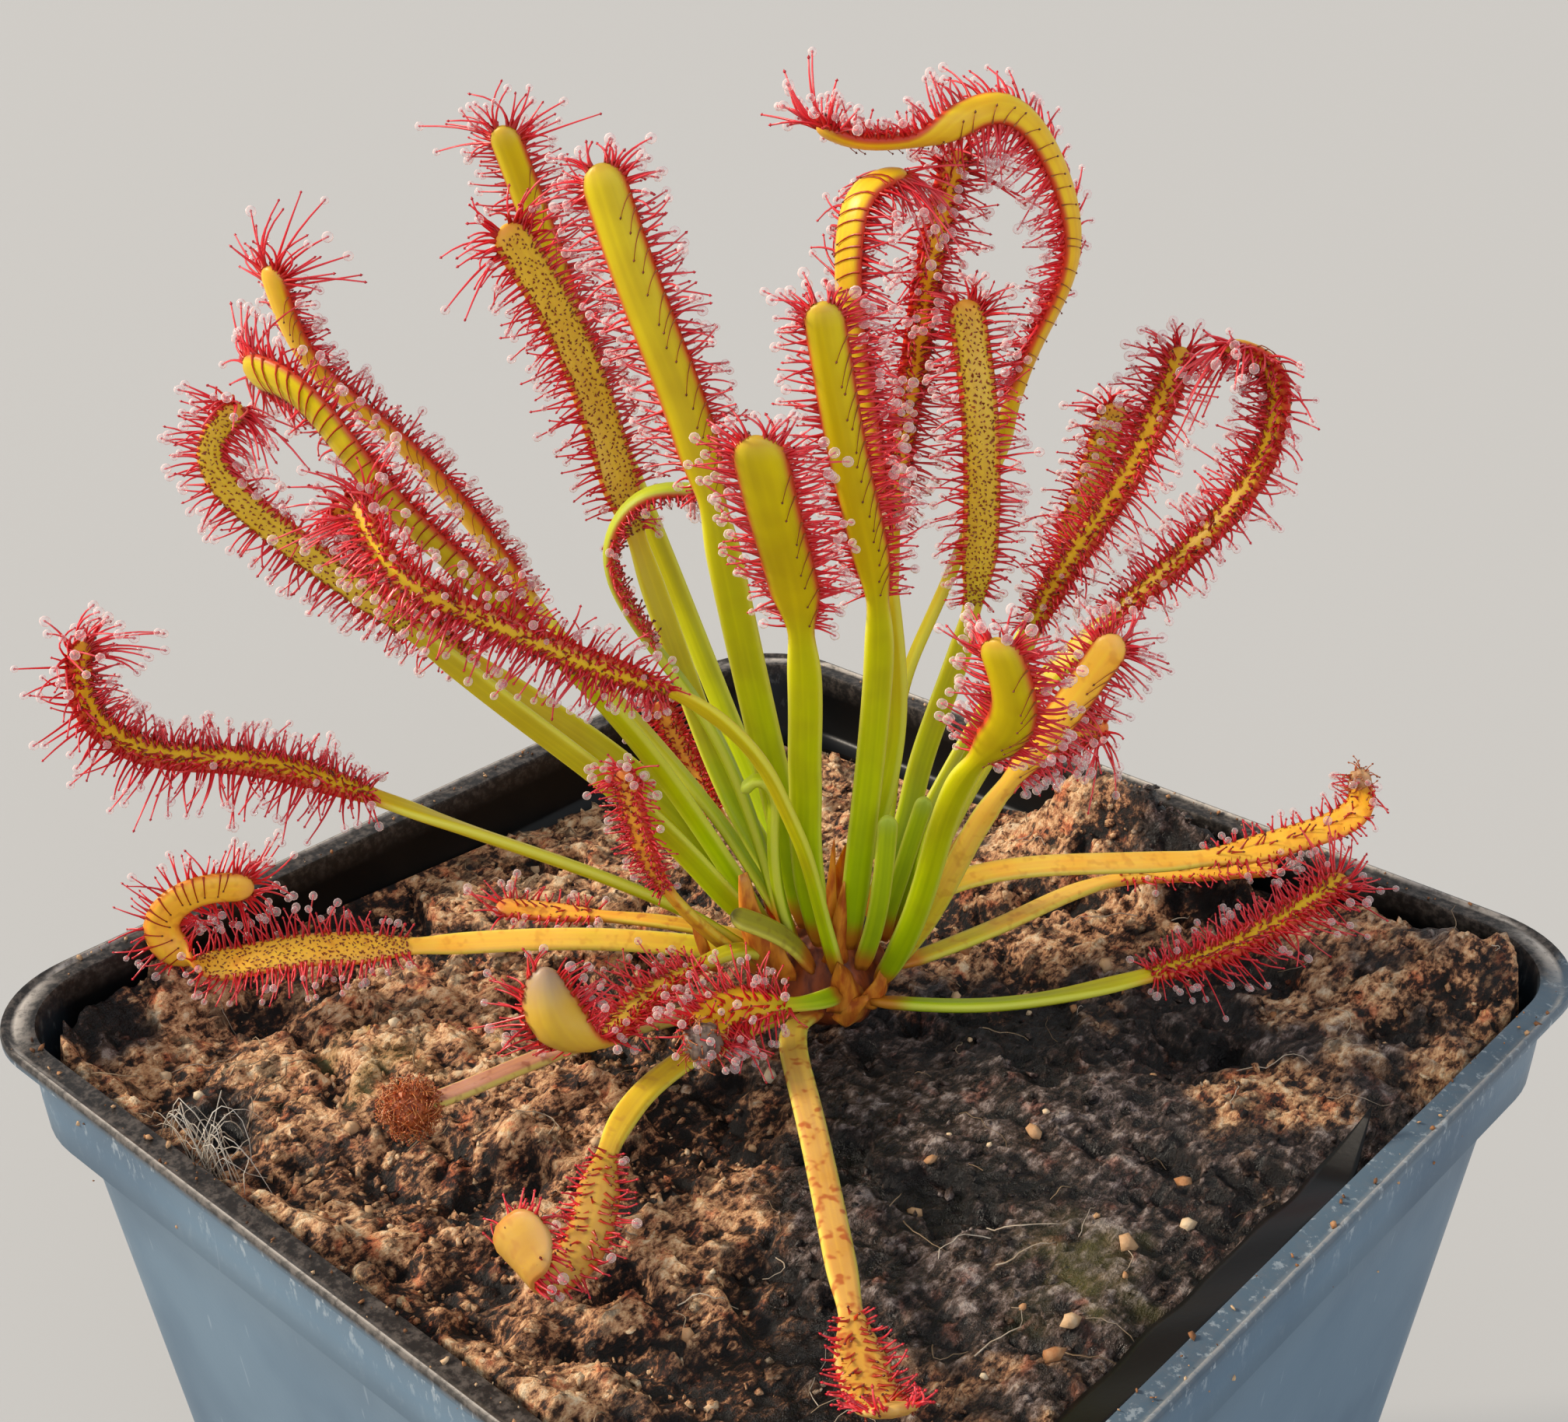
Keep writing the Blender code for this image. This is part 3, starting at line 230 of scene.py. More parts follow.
@dataclass(frozen=True)
class StalkTissue:
    """A tentacle's stalk: red sap shows through a thin clear skin, darker at its root."""

    name: str
    root: str
    middle: str
    top: str
    dark: str

    @cache
    def material(self) -> Material:
        """Red stalk skin, wet with its own sap: bright and slightly glossy, with light through it.

        Returns:
            The material.
        """
        r = Recipe(self.name)
        height, tone = (r.add(Kind.MARK, attribute_name=mark) for mark in ("height", "tone"))
        # The pale pink towards the top is partly painted light, standing in for light shining through the stalk over
        # its own red
        colour = r.add(Kind.PICK, height, stops=((0.0, self.root), (0.3, self.middle), (1.0, self.top)))
        colour = r.add(Kind.MIX, r.add(Kind.RAMP, tone, 0.5, 1.0, 0, 0.5), colour, self.dark)
        return r.finish(colour, 0.32, Specular_IOR_Level=0.4, Subsurface_Weight=0.35, Subsurface_Scale=0.0005,
                        Subsurface_Radius=(1.0, 0.25, 0.2))


@dataclass(frozen=True)
class GlandTissue:
    """The red gland at a tentacle's tip."""

    name: str
    low: str
    high: str

    @cache
    def material(self) -> Material:
        """Gland head: deep red and moist.

        Returns:
            The material.
        """
        r = Recipe(self.name)
        colour = r.add(Kind.MIX, r.add(Kind.MARK, attribute_name="tone"), self.low, self.high)
        return r.finish(colour, 0.28, Specular_IOR_Level=0.5)


@dataclass(frozen=True)
class Mucilage:
    """The clear sticky drop round a gland: water and sugars, with a faint pink tint."""

    name: str = "clear_mucilage"
    tint: str = "#fbe2de"

    @cache
    def material(self) -> Material:
        """Mucilage: clear as water in the middle, with a painted reflection at its rim, where the pale tint grows
        opaque in place of the sky that a real drop mirrors.

        Returns:
            The material.
        """
        r = Recipe(self.name)
        # Painted reflection: the pale tint is nearly opaque where the surface turns away from view and clear where it
        # faces it
        painted_rim_reflection = r.add(Kind.RAMP, r.add(Kind.FACING, 0.5), 0.35, 0.85, 0.2, 0.9)
        return r.finish(self.tint, 0.05, Specular_IOR_Level=0.7, IOR=1.36, Alpha=painted_rim_reflection)


@dataclass(frozen=True)
class PeatFinish:
    """Crumbled peat: fibrous, matt and tan where dry, dark with a wet sheen where wet, with painted light and shade on
    it: lighter crumb tops, near-black pits, gaps and shaded ground, and a painted bluish sky sheen.
    """

    name: str
    dry: Stops
    wet: Stops
    moss: str = "#86803a"
    rust: str = "#b05c2c"
    # A bluish tint that paints the sky's reflection on wet peat
    painted_sky_sheen: str = "#4c5a70"

    @cache
    def material(self) -> Material:
        """Peat: fine fibres, rusty and algae-green patches, and painted light and shade: pale tops, black pits and
        gaps, darker shaded ground and a bluish sky sheen.

        Returns:
            The material.
        """
        r = Recipe(self.name)
        place = r.add(Kind.PLACE)
        height, damp_and_shade, moss = (r.add(Kind.MARK, attribute_name=mark) for mark in ("relief", "damp_and_shade", "moss"))
        # Fibres about 0.5 mm across and nearly three times as long, over clumps three times as wide
        slanted = r.add(Kind.MAPPING, place, (1, 0.36, 0.8), (0.2, 0.3, 0.9))
        grain = r.add(Kind.NOISE, slanted, per_metre(0.5), 5, 0.72)
        clump = r.add(Kind.NOISE, place, per_metre(1.5), 4, 0.65)
        # The colour is picked by height: lighter on crumb tops and near black in pits, as painted light and shade over
        # the peat's own browns. The same noise that bumps the surface adds to it.
        for noise, weight in ((grain, 2.3), (clump, 2.0)):
            height = r.add(Kind.ADD, height, r.add(Kind.MULTIPLY, r.add(Kind.SUBTRACT, noise, 0.5), weight))
        patch = r.add(Kind.NOISE, place, per_metre(5.0), 4)
        # The wet share darkens the peat, which also paints the shade at the plant's right front
        damp_and_shade = r.add(Kind.ADD, damp_and_shade, r.add(Kind.MULTIPLY, r.add(Kind.SUBTRACT, patch, 0.5), 1.8))
        share = r.add(Kind.RAMP, damp_and_shade, 0.25, 0.75)
        # Broad near-black patches about 3 mm across are painted shade, standing in for shadowed hollows
        gaps = r.add(Kind.NOISE, place, per_metre(3.2), 5, 0.65)
        rusty = r.add(Kind.NOISE, place, per_metre(2.4), 4)
        # Patches of painted bluish sky reflection on the wet peat
        sky_sheen_patches = r.add(Kind.RAMP, r.add(Kind.NOISE, place, per_metre(6.5)), 0.5, 0.66, 0, 0.6)
        colour = r.add(Kind.PICK, height, stops=self.dry)
        for part, over, blend in (
                (share, r.add(Kind.PICK, height, stops=self.wet), "MIX"),
                (r.add(Kind.RAMP, gaps, 0.48, 0.38, 0, 0.72), "#0a0605", "MIX"),
                (r.add(Kind.RAMP, rusty, 0.54, 0.68, 0, 0.6), self.rust, "OVERLAY"),
                (r.add(Kind.MULTIPLY, sky_sheen_patches, share), self.painted_sky_sheen, "SOFT_LIGHT"),
                (r.add(Kind.RAMP, moss, 0.15, 0.7, 0, 0.4), self.moss, "MIX")):
            colour = r.add(Kind.MIX, part, colour, over, blend_type=blend)
        rough = r.add(Kind.RAMP, share, 0, 1, 0.66, 0.34)
        normal = r.add(Kind.BUMP, grain, 0.6 * MM, 1.0, r.add(Kind.BUMP, clump, 0.6 * MM, 0.8))
        return r.finish(colour, rough, normal, Specular_IOR_Level=0.45)


@dataclass(frozen=True)
class Mineral:
    """Grit and bark chips: small hard pieces of one tint each."""

    name: str
    stops: Stops
    rough: float = 0.75

    @cache
    def material(self) -> Material:
        """Grit: broken stone and bark, dull, each piece of its own tint.

        Returns:
            The material.
        """
        r = Recipe(self.name)
        place = r.add(Kind.PLACE)
        grain = r.add(Kind.SUBTRACT, r.add(Kind.NOISE, place, per_metre(0.6), 4), 0.5)
        tint = r.add(Kind.ADD, r.add(Kind.MARK, attribute_name="tone"), r.add(Kind.MULTIPLY, grain, 0.5))
        bump = r.add(Kind.BUMP, r.add(Kind.NOISE, place, per_metre(0.3)), 0.1 * MM, 0.7)
        return r.finish(r.add(Kind.PICK, tint, stops=self.stops), self.rough, bump, Specular_IOR_Level=0.35)


@dataclass(frozen=True)
class DryTissue:
    """Dead leaf tissue: papery and rough, with the light of the room coming through it."""

    name: str
    low: str
    high: str
    vein_mm: float = 0.5

    @cache
    def material(self) -> Material:
        """Dry sheath or withered blade: papery, creased lengthwise, brown to orange.

        Returns:
            The material.
        """
        r = Recipe(self.name)
        place = r.add(Kind.PLACE)
        crease = r.add(Kind.NOISE, r.add(Kind.MAPPING, place, (1, 1, 0.3)), per_metre(self.vein_mm), 3)
        patch = r.add(Kind.NOISE, place, per_metre(2.8))
        colour = r.add(Kind.MIX, r.add(Kind.RAMP, crease, 0.3, 0.66), self.low, self.high)
        colour = r.add(Kind.MIX, r.add(Kind.RAMP, patch, 0.45, 0.7, 0, 0.35), colour, self.low)
        return r.finish(colour, 0.55, r.add(Kind.BUMP, crease, 0.12 * MM, 0.7), Subsurface_Weight=0.35,
                        Subsurface_Scale=0.001, Subsurface_Radius=(1.0, 0.4, 0.1))


@dataclass(frozen=True)
class PotPlastic:
    """Black polypropylene, injection moulded, dull with lime and dust on the outside, where its blue-grey is partly a
    painted sky sheen and partly a dusty film.
    """

    name: str = "moulded_black_polypropylene"
    black: str = "#040506"
    # The blue-grey outside is partly a painted sky sheen on the black plastic and partly a dusty film
    sky_sheen_and_bloom: str = "#637c8f"
    shade: str = "#53697c"
    dust: str = "#766c64"
    lime: str = "#c3ccd0"

    @cache
    def material(self) -> Material:
        """Polypropylene: a soft sheen, a blue-grey outside that is partly painted sky sheen, a dusty lip with a painted
        highlight on its bead, and fine scratches.

        Returns:
            The material.
        """
        r = Recipe(self.name)
        place = r.add(Kind.PLACE)
        outside, lip, brink, skirt = (
            r.add(Kind.MARK, attribute_name=mark) for mark in ("outside", "lip", "brink", "skirt"))
        cloud = r.add(Kind.NOISE, place, per_metre(24), 3)
        # The outside's blue-grey, varied by broad cloud, is partly painted sky sheen and partly a dusty film
        sky_sheen_and_bloom = r.add(Kind.MIX, r.add(Kind.RAMP, cloud, 0.35, 0.7), self.sky_sheen_and_bloom, self.shade)
        speckle = r.add(Kind.NOISE, place, per_metre(0.7), 5, 0.7)
        # Lime flakes about 1 mm wide that run down from the lip
        flakes = r.add(Kind.NOISE, r.add(Kind.MAPPING, place, (1, 1, 0.4)), per_metre(0.9), 4, 0.7)
        # Scratches about 0.3 mm wide and 12 mm long
        turned = r.add(Kind.MAPPING, place, (1, 1, 0.04), (0.5, 0.4, 0.6))
        scratch = r.add(Kind.NOISE, turned, per_metre(0.5), 1)
        colour = self.black
        for share, zone, over in (
                (0.92, outside, sky_sheen_and_bloom),
                (r.add(Kind.RAMP, speckle, 0.42, 0.66, 0.08, 0.5), lip, self.dust),
                # A painted highlight along the lip's bead, speckled like dust
                (r.add(Kind.RAMP, speckle, 0.3, 0.55, 0.35, 0.9), brink, "#c4bcb2"),
                (r.add(Kind.RAMP, flakes, 0.56, 0.66, 0, 0.8), skirt, self.lime),
                (r.add(Kind.RAMP, scratch, 0.72, 0.77, 0, 0.22), outside, "#aebac4")):
            colour = r.add(Kind.MIX, r.add(Kind.MULTIPLY, share, zone), colour, over)
        rough = r.add(Kind.RAMP, cloud, 0.3, 0.7, 0.34, 0.46)
        wavy = r.add(Kind.BUMP, r.add(Kind.NOISE, place, per_metre(16)), 0.4 * MM, 0.25)
        normal = r.add(Kind.BUMP, r.add(Kind.NOISE, place, per_metre(0.4)), 0.03 * MM, 0.3, wavy)
        return r.finish(colour, rough, normal, Specular_IOR_Level=0.28, IOR=1.49)


@dataclass(frozen=True)
class StudioPaper:
    """The plain pale floor."""

    name: str = "pale_studio_paper"
    colour: str = "#b4b4b3"

    @cache
    def material(self) -> Material:
        """Matt paper."""
        return Recipe(self.name).finish(self.colour, 0.9, Specular_IOR_Level=0.2)


class Tissue(Enum):
    """The leaf skins of this plant."""

    LIME = LeafTissue("lime_leaf_skin", "#98b400", "#afc300", "#cfb80a", "#bf5a20", "#cdb034")
    GOLDEN = LeafTissue("golden_leaf_skin", "#9cb604", "#b6be04", "#e6b822", "#cc5a24", "#dfae36")
    OLIVE = LeafTissue("olive_leaf_skin", "#9cb604", "#b2ba06", "#deba34", "#d88a34", "#e2a83c")
    YOUNG = LeafTissue("young_leaf_skin", "#96ae0a", "#a8bc0c", "#b6c028", "#a8b044", "#a6b840", rough=0.42)
    YELLOW = LeafTissue("yellowed_leaf_skin", "#ccba20", "#f8bf54", "#ffbe3c", "#e88a30", "#f0b858", "#b8621c", 0.3)
    TAN = LeafTissue("tan_leaf_skin", "#ccba20", "#e0bc2c", "#c69a4a", "#c4813a", "#c49c60", "#b0703a", 0.3)
    ORANGE = LeafTissue("orange_leaf_skin", "#c0a026", "#e4a034", "#f2aa3c", "#dc602e", "#dc8440", "#a33a18", 0.45)
    PEACH = LeafTissue("fading_leaf_skin", "#c4a840", "#cf9e5c", "#d4a048", "#d8b468", "#c8984c", "#a8401c", 0.75)
    CUPPED = LeafTissue("greying_leaf_skin", "#b8b81a", "#ccba28", "#d6ae3e", "#c9903a", "#a08878", tip_run=3.2)
    WITHERED = LeafTissue("withered_leaf_skin", "#a88a60", "#c4917a", "#bb8470", "#a56a4a", "#8a4a2c", "#7a3420", 0.6,
                          rough=0.6)
    KHAKI = LeafTissue("cut_leaf_skin", "#98902a", "#a39c3a", "#a39a50", "#8a7a3a", "#2c2318", "#6a4a20", 0.3,
                       tip_run=0.2)


class Stalks(Enum):
    """The tentacles' stalks."""

    RED = StalkTissue("red_tentacle_stalk", "#c02c1a", "#da1a28", "#ee5058", "#a80e1c")
    STUB = StalkTissue("short_tentacle_stalk", "#c05a20", "#b02c1c", "#981c1a", "#701410")
    STRIPE = StalkTissue("bent_tentacle_stalk", "#b83c18", "#9c2814", "#861c12", "#6c1610")
    BROWN = StalkTissue("brown_tentacle_stalk", "#a4642a", "#90481e", "#7c3818", "#5e2814")
    RUST = StalkTissue("withered_tentacle_stalk", "#8c4420", "#b05424", "#c9824a", "#6c2c14")


class Glands(Enum):
    """The tentacles' heads."""

    RED = GlandTissue("red_gland", "#b0101f", "#dc2c3c")
    DARK = GlandTissue("dark_gland", "#5a2414", "#7c341c")
    RUST = GlandTissue("withered_gland", "#8a3a1c", "#b8683a")


class Face(Enum):
    """What grows on the middle of a blade's sticky face.

    Each value holds its length and spacing in mm, half its width, the share with drops, the
    lean at the margin and its scatter in degrees, and how many points are on each line.
    """

    COMB = (0.75, 0.6, 0.2, 0.0, 260, 14, 4)
    DOTTED = (0.2, 0.37, 0.76, 0.0, 0, 50, 2)
    SPARSE = (0.9, 0.85, 0.7, 0.0, 260, 14, 4)
    LOOSE = (2.0, 0.62, 0.8, 0.3, 95, 14, 4)
    BARE = (0.0, 9.0, 0.0, 0.0, 0, 0, 2)


# From pit to crumb top: the near-black low ends and the pale high ends are painted shade and light over the peat's own
# browns
PEAT = PeatFinish("damp_crumbled_peat",
                  dry=((0.0, "#0b0604"), (0.24, "#4e2d1b"), (0.45, "#b8825a"), (0.68, "#e6b584"), (1.0, "#f8dcb4")),
                  wet=((0.0, "#030202"), (0.3, "#19110d"), (0.55, "#48382f"), (0.8, "#786862"), (1.0, "#a2948c")))
GRIT = Mineral("tan_grit", ((0.0, "#4a3020"), (0.35, "#9a6840"), (0.7, "#c4a078"), (1.0, "#d2bfa0")))
ROOTLET = Mineral("pale_root_fibre", ((0.0, "#5c4630"), (0.5, "#9a8468"), (1.0, "#cfc8bb")), 0.55)
SHEATH = DryTissue("dry_papery_sheath", "#a84c10", "#e08a24", 0.7)
CORKY = DryTissue("corky_crown", "#5a2008", "#a04c14", 0.9)
HUSK = DryTissue("withered_blade_husk", "#54443c", "#948070", 0.5)
TANNED = DryTissue("tan_withered_ball", "#9c6a3c", "#d0a070", 0.5)
RUSTY = DryTissue("rusty_withered_ball", "#7a2c14", "#c06430", 0.5)
PLASTIC = PotPlastic()
CLEAR_DROP = Mucilage()
PAPER = StudioPaper()


@dataclass
class Surface:
    """Points in mm, the point numbers of the quads and triangles over them, and numbers kept at each point."""

    points: Array
    quads: Array = field(default_factory=lambda: np.zeros((0, 4), int))
    tris: Array = field(default_factory=lambda: np.zeros((0, 3), int))
    marks: dict[str, Array] = field(default_factory=dict)

    @staticmethod
    def joined(parts: Sequence["Surface"]) -> "Surface":
        """Several surfaces as one, each part's point numbers moved up past those before it.

        Args:
            parts: the surfaces, with the same marks.

        Returns:
            The one surface.
        """
        starts = np.cumsum([0] + [len(part.points) for part in parts[:-1]])
        marks = {key: np.concatenate([part.marks[key] for part in parts]) for key in parts[0].marks}
        return Surface(np.concatenate([part.points for part in parts]),
                       np.concatenate([part.quads + start for part, start in zip(parts, starts)]),
                       np.concatenate([part.tris + start for part, start in zip(parts, starts)]), marks)


def unit(vectors: Array) -> Array:
    """Vectors scaled to length one."""
    return vectors / np.maximum(np.linalg.norm(vectors, axis=-1, keepdims=True), 1e-9)


def around(count: int) -> Array:
    """Angles in radians at even steps round a full turn."""
    return 2 * np.pi * np.arange(count) / count


def heading(turn: Array) -> Array:
    """Unit directions in the plane: the cosine of an angle along X and its sine along Y."""
    return np.stack([np.cos(turn), np.sin(turn)], -1)


def at_height(flat: Array, height: float | Array) -> Array:
    """Points in the plane raised to one height, or each to its own."""
    return np.concatenate([flat, np.broadcast_to(height, flat.shape[:-1])[..., None]], -1)


def hoops(number: Array) -> Array:
    """Quads between neighbouring rings of point numbers."""
    low, high = number[:-1], number[1:]
    return np.stack([low, np.roll(low, -1, 1), np.roll(high, -1, 1), high], -1).reshape(-1, 4)


def spokes(number: Array, middle: int) -> Array:
    """Triangles from each two neighbouring points of a ring to its middle point."""
    return np.stack([number, np.roll(number, -1), np.full(len(number), middle)], -1)


def repeated(faces: Array, count: int, size: int) -> Array:
    """A shape's faces for each of its copies, the point numbers moved up by its size each time."""
    return (faces[None] + (np.arange(count) * size)[:, None, None]).reshape(-1, faces.shape[1])


def lofted(rings: Array, marks: dict[str, Array] | None = None, capped: bool = True) -> Surface:
    """Quads between neighbouring rings, and a fan of triangles at each end.

    Args:
        rings: points as rings by points by 3, each ring anticlockwise about the way along.
        marks: numbers for each ring and point.
        capped: whether the ends are closed.

    Returns:
        The closed surface.
    """
    rows, count = rings.shape[:2]
    number = np.arange(rows * count).reshape(rows, count)
    points = rings.reshape(-1, 3)
    kept = {key: value.reshape(-1) for key, value in (marks or {}).items()}
    if not capped:
        return Surface(points, hoops(number), marks=kept)
    size = len(points)
    points = np.concatenate([points, rings[[0, -1]].mean(1)])
    kept = {key: np.concatenate([value, [value[:count].mean(), value[-count:].mean()]]) for key, value in kept.items()}
    ends = np.concatenate([spokes(number[0], size)[:, ::-1], spokes(number[-1], size + 1)])
    return Surface(points, hoops(number), ends, kept)


def ball(sides: int, rings: int) -> Surface:
    """A unit sphere about Z: rings at even angles between the two poles.

    Args:
        sides: points on each ring.
        rings: how many rings.

    Returns:
        The sphere.
    """
    rise = np.pi * (np.arange(rings) + 1) / (rings + 1)
    flat = np.sin(rise)[:, None, None] * heading(around(sides))
    shape = lofted(at_height(flat, -np.cos(rise)[:, None]))
    shape.points[-2:] = (0, 0, -1), (0, 0, 1)
    return shape


def copies(shape: Surface, places: Array, axes: Array, marks: dict[str, Array]) -> Surface:
    """A small shape set down many times.

    Args:
        shape: the shape, about its own origin.
        places: a middle for each copy.
        axes: three rows for each copy, the scaled directions that its X, Y and Z take.
        marks: one number for each copy, by name.

    Returns:
        All the copies: each point is its middle plus the point's coordinates times the axes.
    """
    count, size = len(places), len(shape.points)
    points = (places[:, None] + np.einsum("pk,nkc->npc", shape.points, axes)).reshape(-1, 3)
    return Surface(points, repeated(shape.quads, count, size), repeated(shape.tris, count, size),
                   {key: np.repeat(value, size) for key, value in marks.items()})


def bowed(root: Array, aim: Array, bend: Array, length: Array, places: int) -> Array:
    """Lines that start along an aim and bend: root + length * (aim * t + bend * t * t), t from 0 to 1."""
    t = np.linspace(0, 1, places)[None, :, None]
    return root[:, None] + length[:, None, None] * (aim[:, None] * t + bend[:, None] * t * t)


def tubes(centres: Array, radii: Array, sides: int, guide: Array, marks: dict[str, Array]) -> Surface:
    """Thin tubes along many lines at once, each closed by a point at its far end.

    Each ring lies across the line's direction: radius * (cos turn * a + sin turn * b), where a
    is square to the direction and to the guide, and b to both.

    Args:
        centres: lines by places by 3.
        radii: lines by places.
        sides: sides of each tube.
        guide: a direction for each line that it isn't parallel to.
        marks: one number for each line and place, by name.

    Returns:
        The tubes.
    """
    count, rows = centres.shape[:2]
    tangent = unit(np.gradient(centres, axis=1))
    a = unit(np.cross(tangent, guide[:, None]))
    b = np.cross(tangent, a)
    c, s = heading(around(sides)).T[..., None]
    rings = centres[:, :, None] + radii[..., None, None] * (c * a[:, :, None] + s * b[:, :, None])
    ends = centres[:, -1:] + tangent[:, -1:] * radii[:, -1:, None]
    points = np.concatenate([rings.reshape(count, -1, 3), ends], 1).reshape(-1, 3)
    number = np.arange(rows * sides).reshape(rows, sides)
    size = rows * sides + 1
    kept = {key: np.concatenate([np.repeat(value, sides, 1), value[:, -1:]], 1).reshape(-1)
            for key, value in marks.items()}
    return Surface(points, repeated(hoops(number), count, size),
                   repeated(spokes(number[-1], size - 1), count, size), kept)


def set_marks(mesh: bpy.types.Mesh, marks: dict[str, Array]) -> None:
    """Put numbers on a mesh's points, by name."""
    for key, value in marks.items():
        mesh.attributes.new(key, "FLOAT", "POINT").data.foreach_set("value", value.astype(np.float32))


def add_piece(name: str, layers: Sequence[tuple[Surface, Material]],
              nodes: Sequence[str] = (), turned: bool = False) -> bpy.types.Object:
    """One piece of the model, riding on the root body.

    Args:
        name: the piece's name.
        layers: each surface with its material.
        nodes: the solids that it stands for.
        turned: whether its points are in the plant's frame.

    Returns:
        The piece.
    """
    whole = Surface.joined([surface for surface, _ in layers])
    points = (to_world(whole.points) if turned else whole.points) * MM
    corners = np.concatenate([whole.quads.ravel(), whole.tris.ravel()]).astype(np.int32)
    sizes = np.repeat([4, 3], [len(whole.quads), len(whole.tris)])
    number = np.arange(len(layers))
    finish = np.concatenate([np.repeat(number, [len(surface.quads) for surface, _ in layers]),
                             np.repeat(number, [len(surface.tris) for surface, _ in layers])])
    mesh = bpy.data.meshes.new(name)
    mesh.vertices.add(len(points))
    mesh.vertices.foreach_set("co", points.astype(np.float32).ravel())
    mesh.loops.add(len(corners))
    mesh.loops.foreach_set("vertex_index", corners)
    mesh.polygons.add(len(sizes))
    mesh.polygons.foreach_set("loop_start", (np.cumsum(sizes) - sizes).astype(np.int32))
    for _, material in layers:
        mesh.materials.append(material)
    mesh.polygons.foreach_set("material_index", finish.astype(np.int32))
    mesh.polygons.foreach_set("use_smooth", np.ones(len(sizes), bool))
    mesh.update(calc_edges=True)
    mesh.validate()
    set_marks(mesh, whole.marks)
    piece = bpy.data.objects.new(name, mesh)
    bpy.context.scene.collection.objects.link(piece)
    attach(piece, "root")
    if nodes:
        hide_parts(*nodes)
    LOG.info("%s: %d faces", name, len(sizes))
    return piece


# What lies on the sticky face's side of the midrib, and on the keeled back's, of a leaf's thickness
FACE_SHARE, BACK_SHARE = 0.42, 0.62
CROWN_PLACE = np.array([-1.0, 5.0, 91.0])
PLANT_TURN = math.radians(42.4)
PLANT_AXES = np.array([[math.cos(PLANT_TURN), math.sin(PLANT_TURN), 0],
                       [-math.sin(PLANT_TURN), math.cos(PLANT_TURN), 0], [0, 0, 1]])


def to_world(points: Array) -> Array:
    """Points in the plant's frame turned about Z and moved to the crown, in world mm."""
    return points @ PLANT_AXES + CROWN_PLACE


def smoothstep(low: float, high: float, value: Array) -> Array:
    """0 below low, 1 above high, and t * t * (3 - 2 t) between them."""
    t = np.clip((value - low) / (high - low), 0, 1)
    return t * t * (3 - 2 * t)


def scatter(cell: Array, seed: float) -> Array:
    """A number from 0 to 1 for each grid cell: the fraction of a large multiple of a sine."""
    return np.mod(np.sin(cell[..., 0] * 127.1 + cell[..., 1] * 311.7 + seed * 74.7) * 43758.5453, 1)


def ripple(xy: Array, size: float, seed: float) -> Array:
    """Smooth noise from 0 to 1: numbers at grid corners, blended by the smooth step between them.

    Args:
        xy: places in mm.
        size: the grid's cell in mm.
        seed: which noise it is.

    Returns:
        The noise at each place.
    """
    low = np.floor(xy / size)
    far = smoothstep(0, 1, xy / size - low)
    part = 1 - far, far
    return sum(scatter(low + (i, j), seed) * part[i][..., 0] * part[j][..., 1] for j in (0, 1) for i in (0, 1))


def billow(xy: Array, size: float, seed: float) -> Array:
    """Rounded lumps with sharp gaps between them: the distance of smooth noise from its middle, times two."""
    return np.abs(2 * ripple(xy, size, seed) - 1)


def mounded(value: Array, place: Array, rows: Iterable) -> Array:
    """A value with rise * exp(-(distance / reach)^2) added about each row's x and y.

    Args:
        value: what is there before.
        place: where each value is.
        rows: x, y, reach and rise.

    Returns:
        The value with every rise added.
    """
    for x, y, reach, rise in rows:
        value = value + rise * np.exp(-((place[..., 0] - x) ** 2 + (place[..., 1] - y) ** 2) / reach ** 2)
    return value


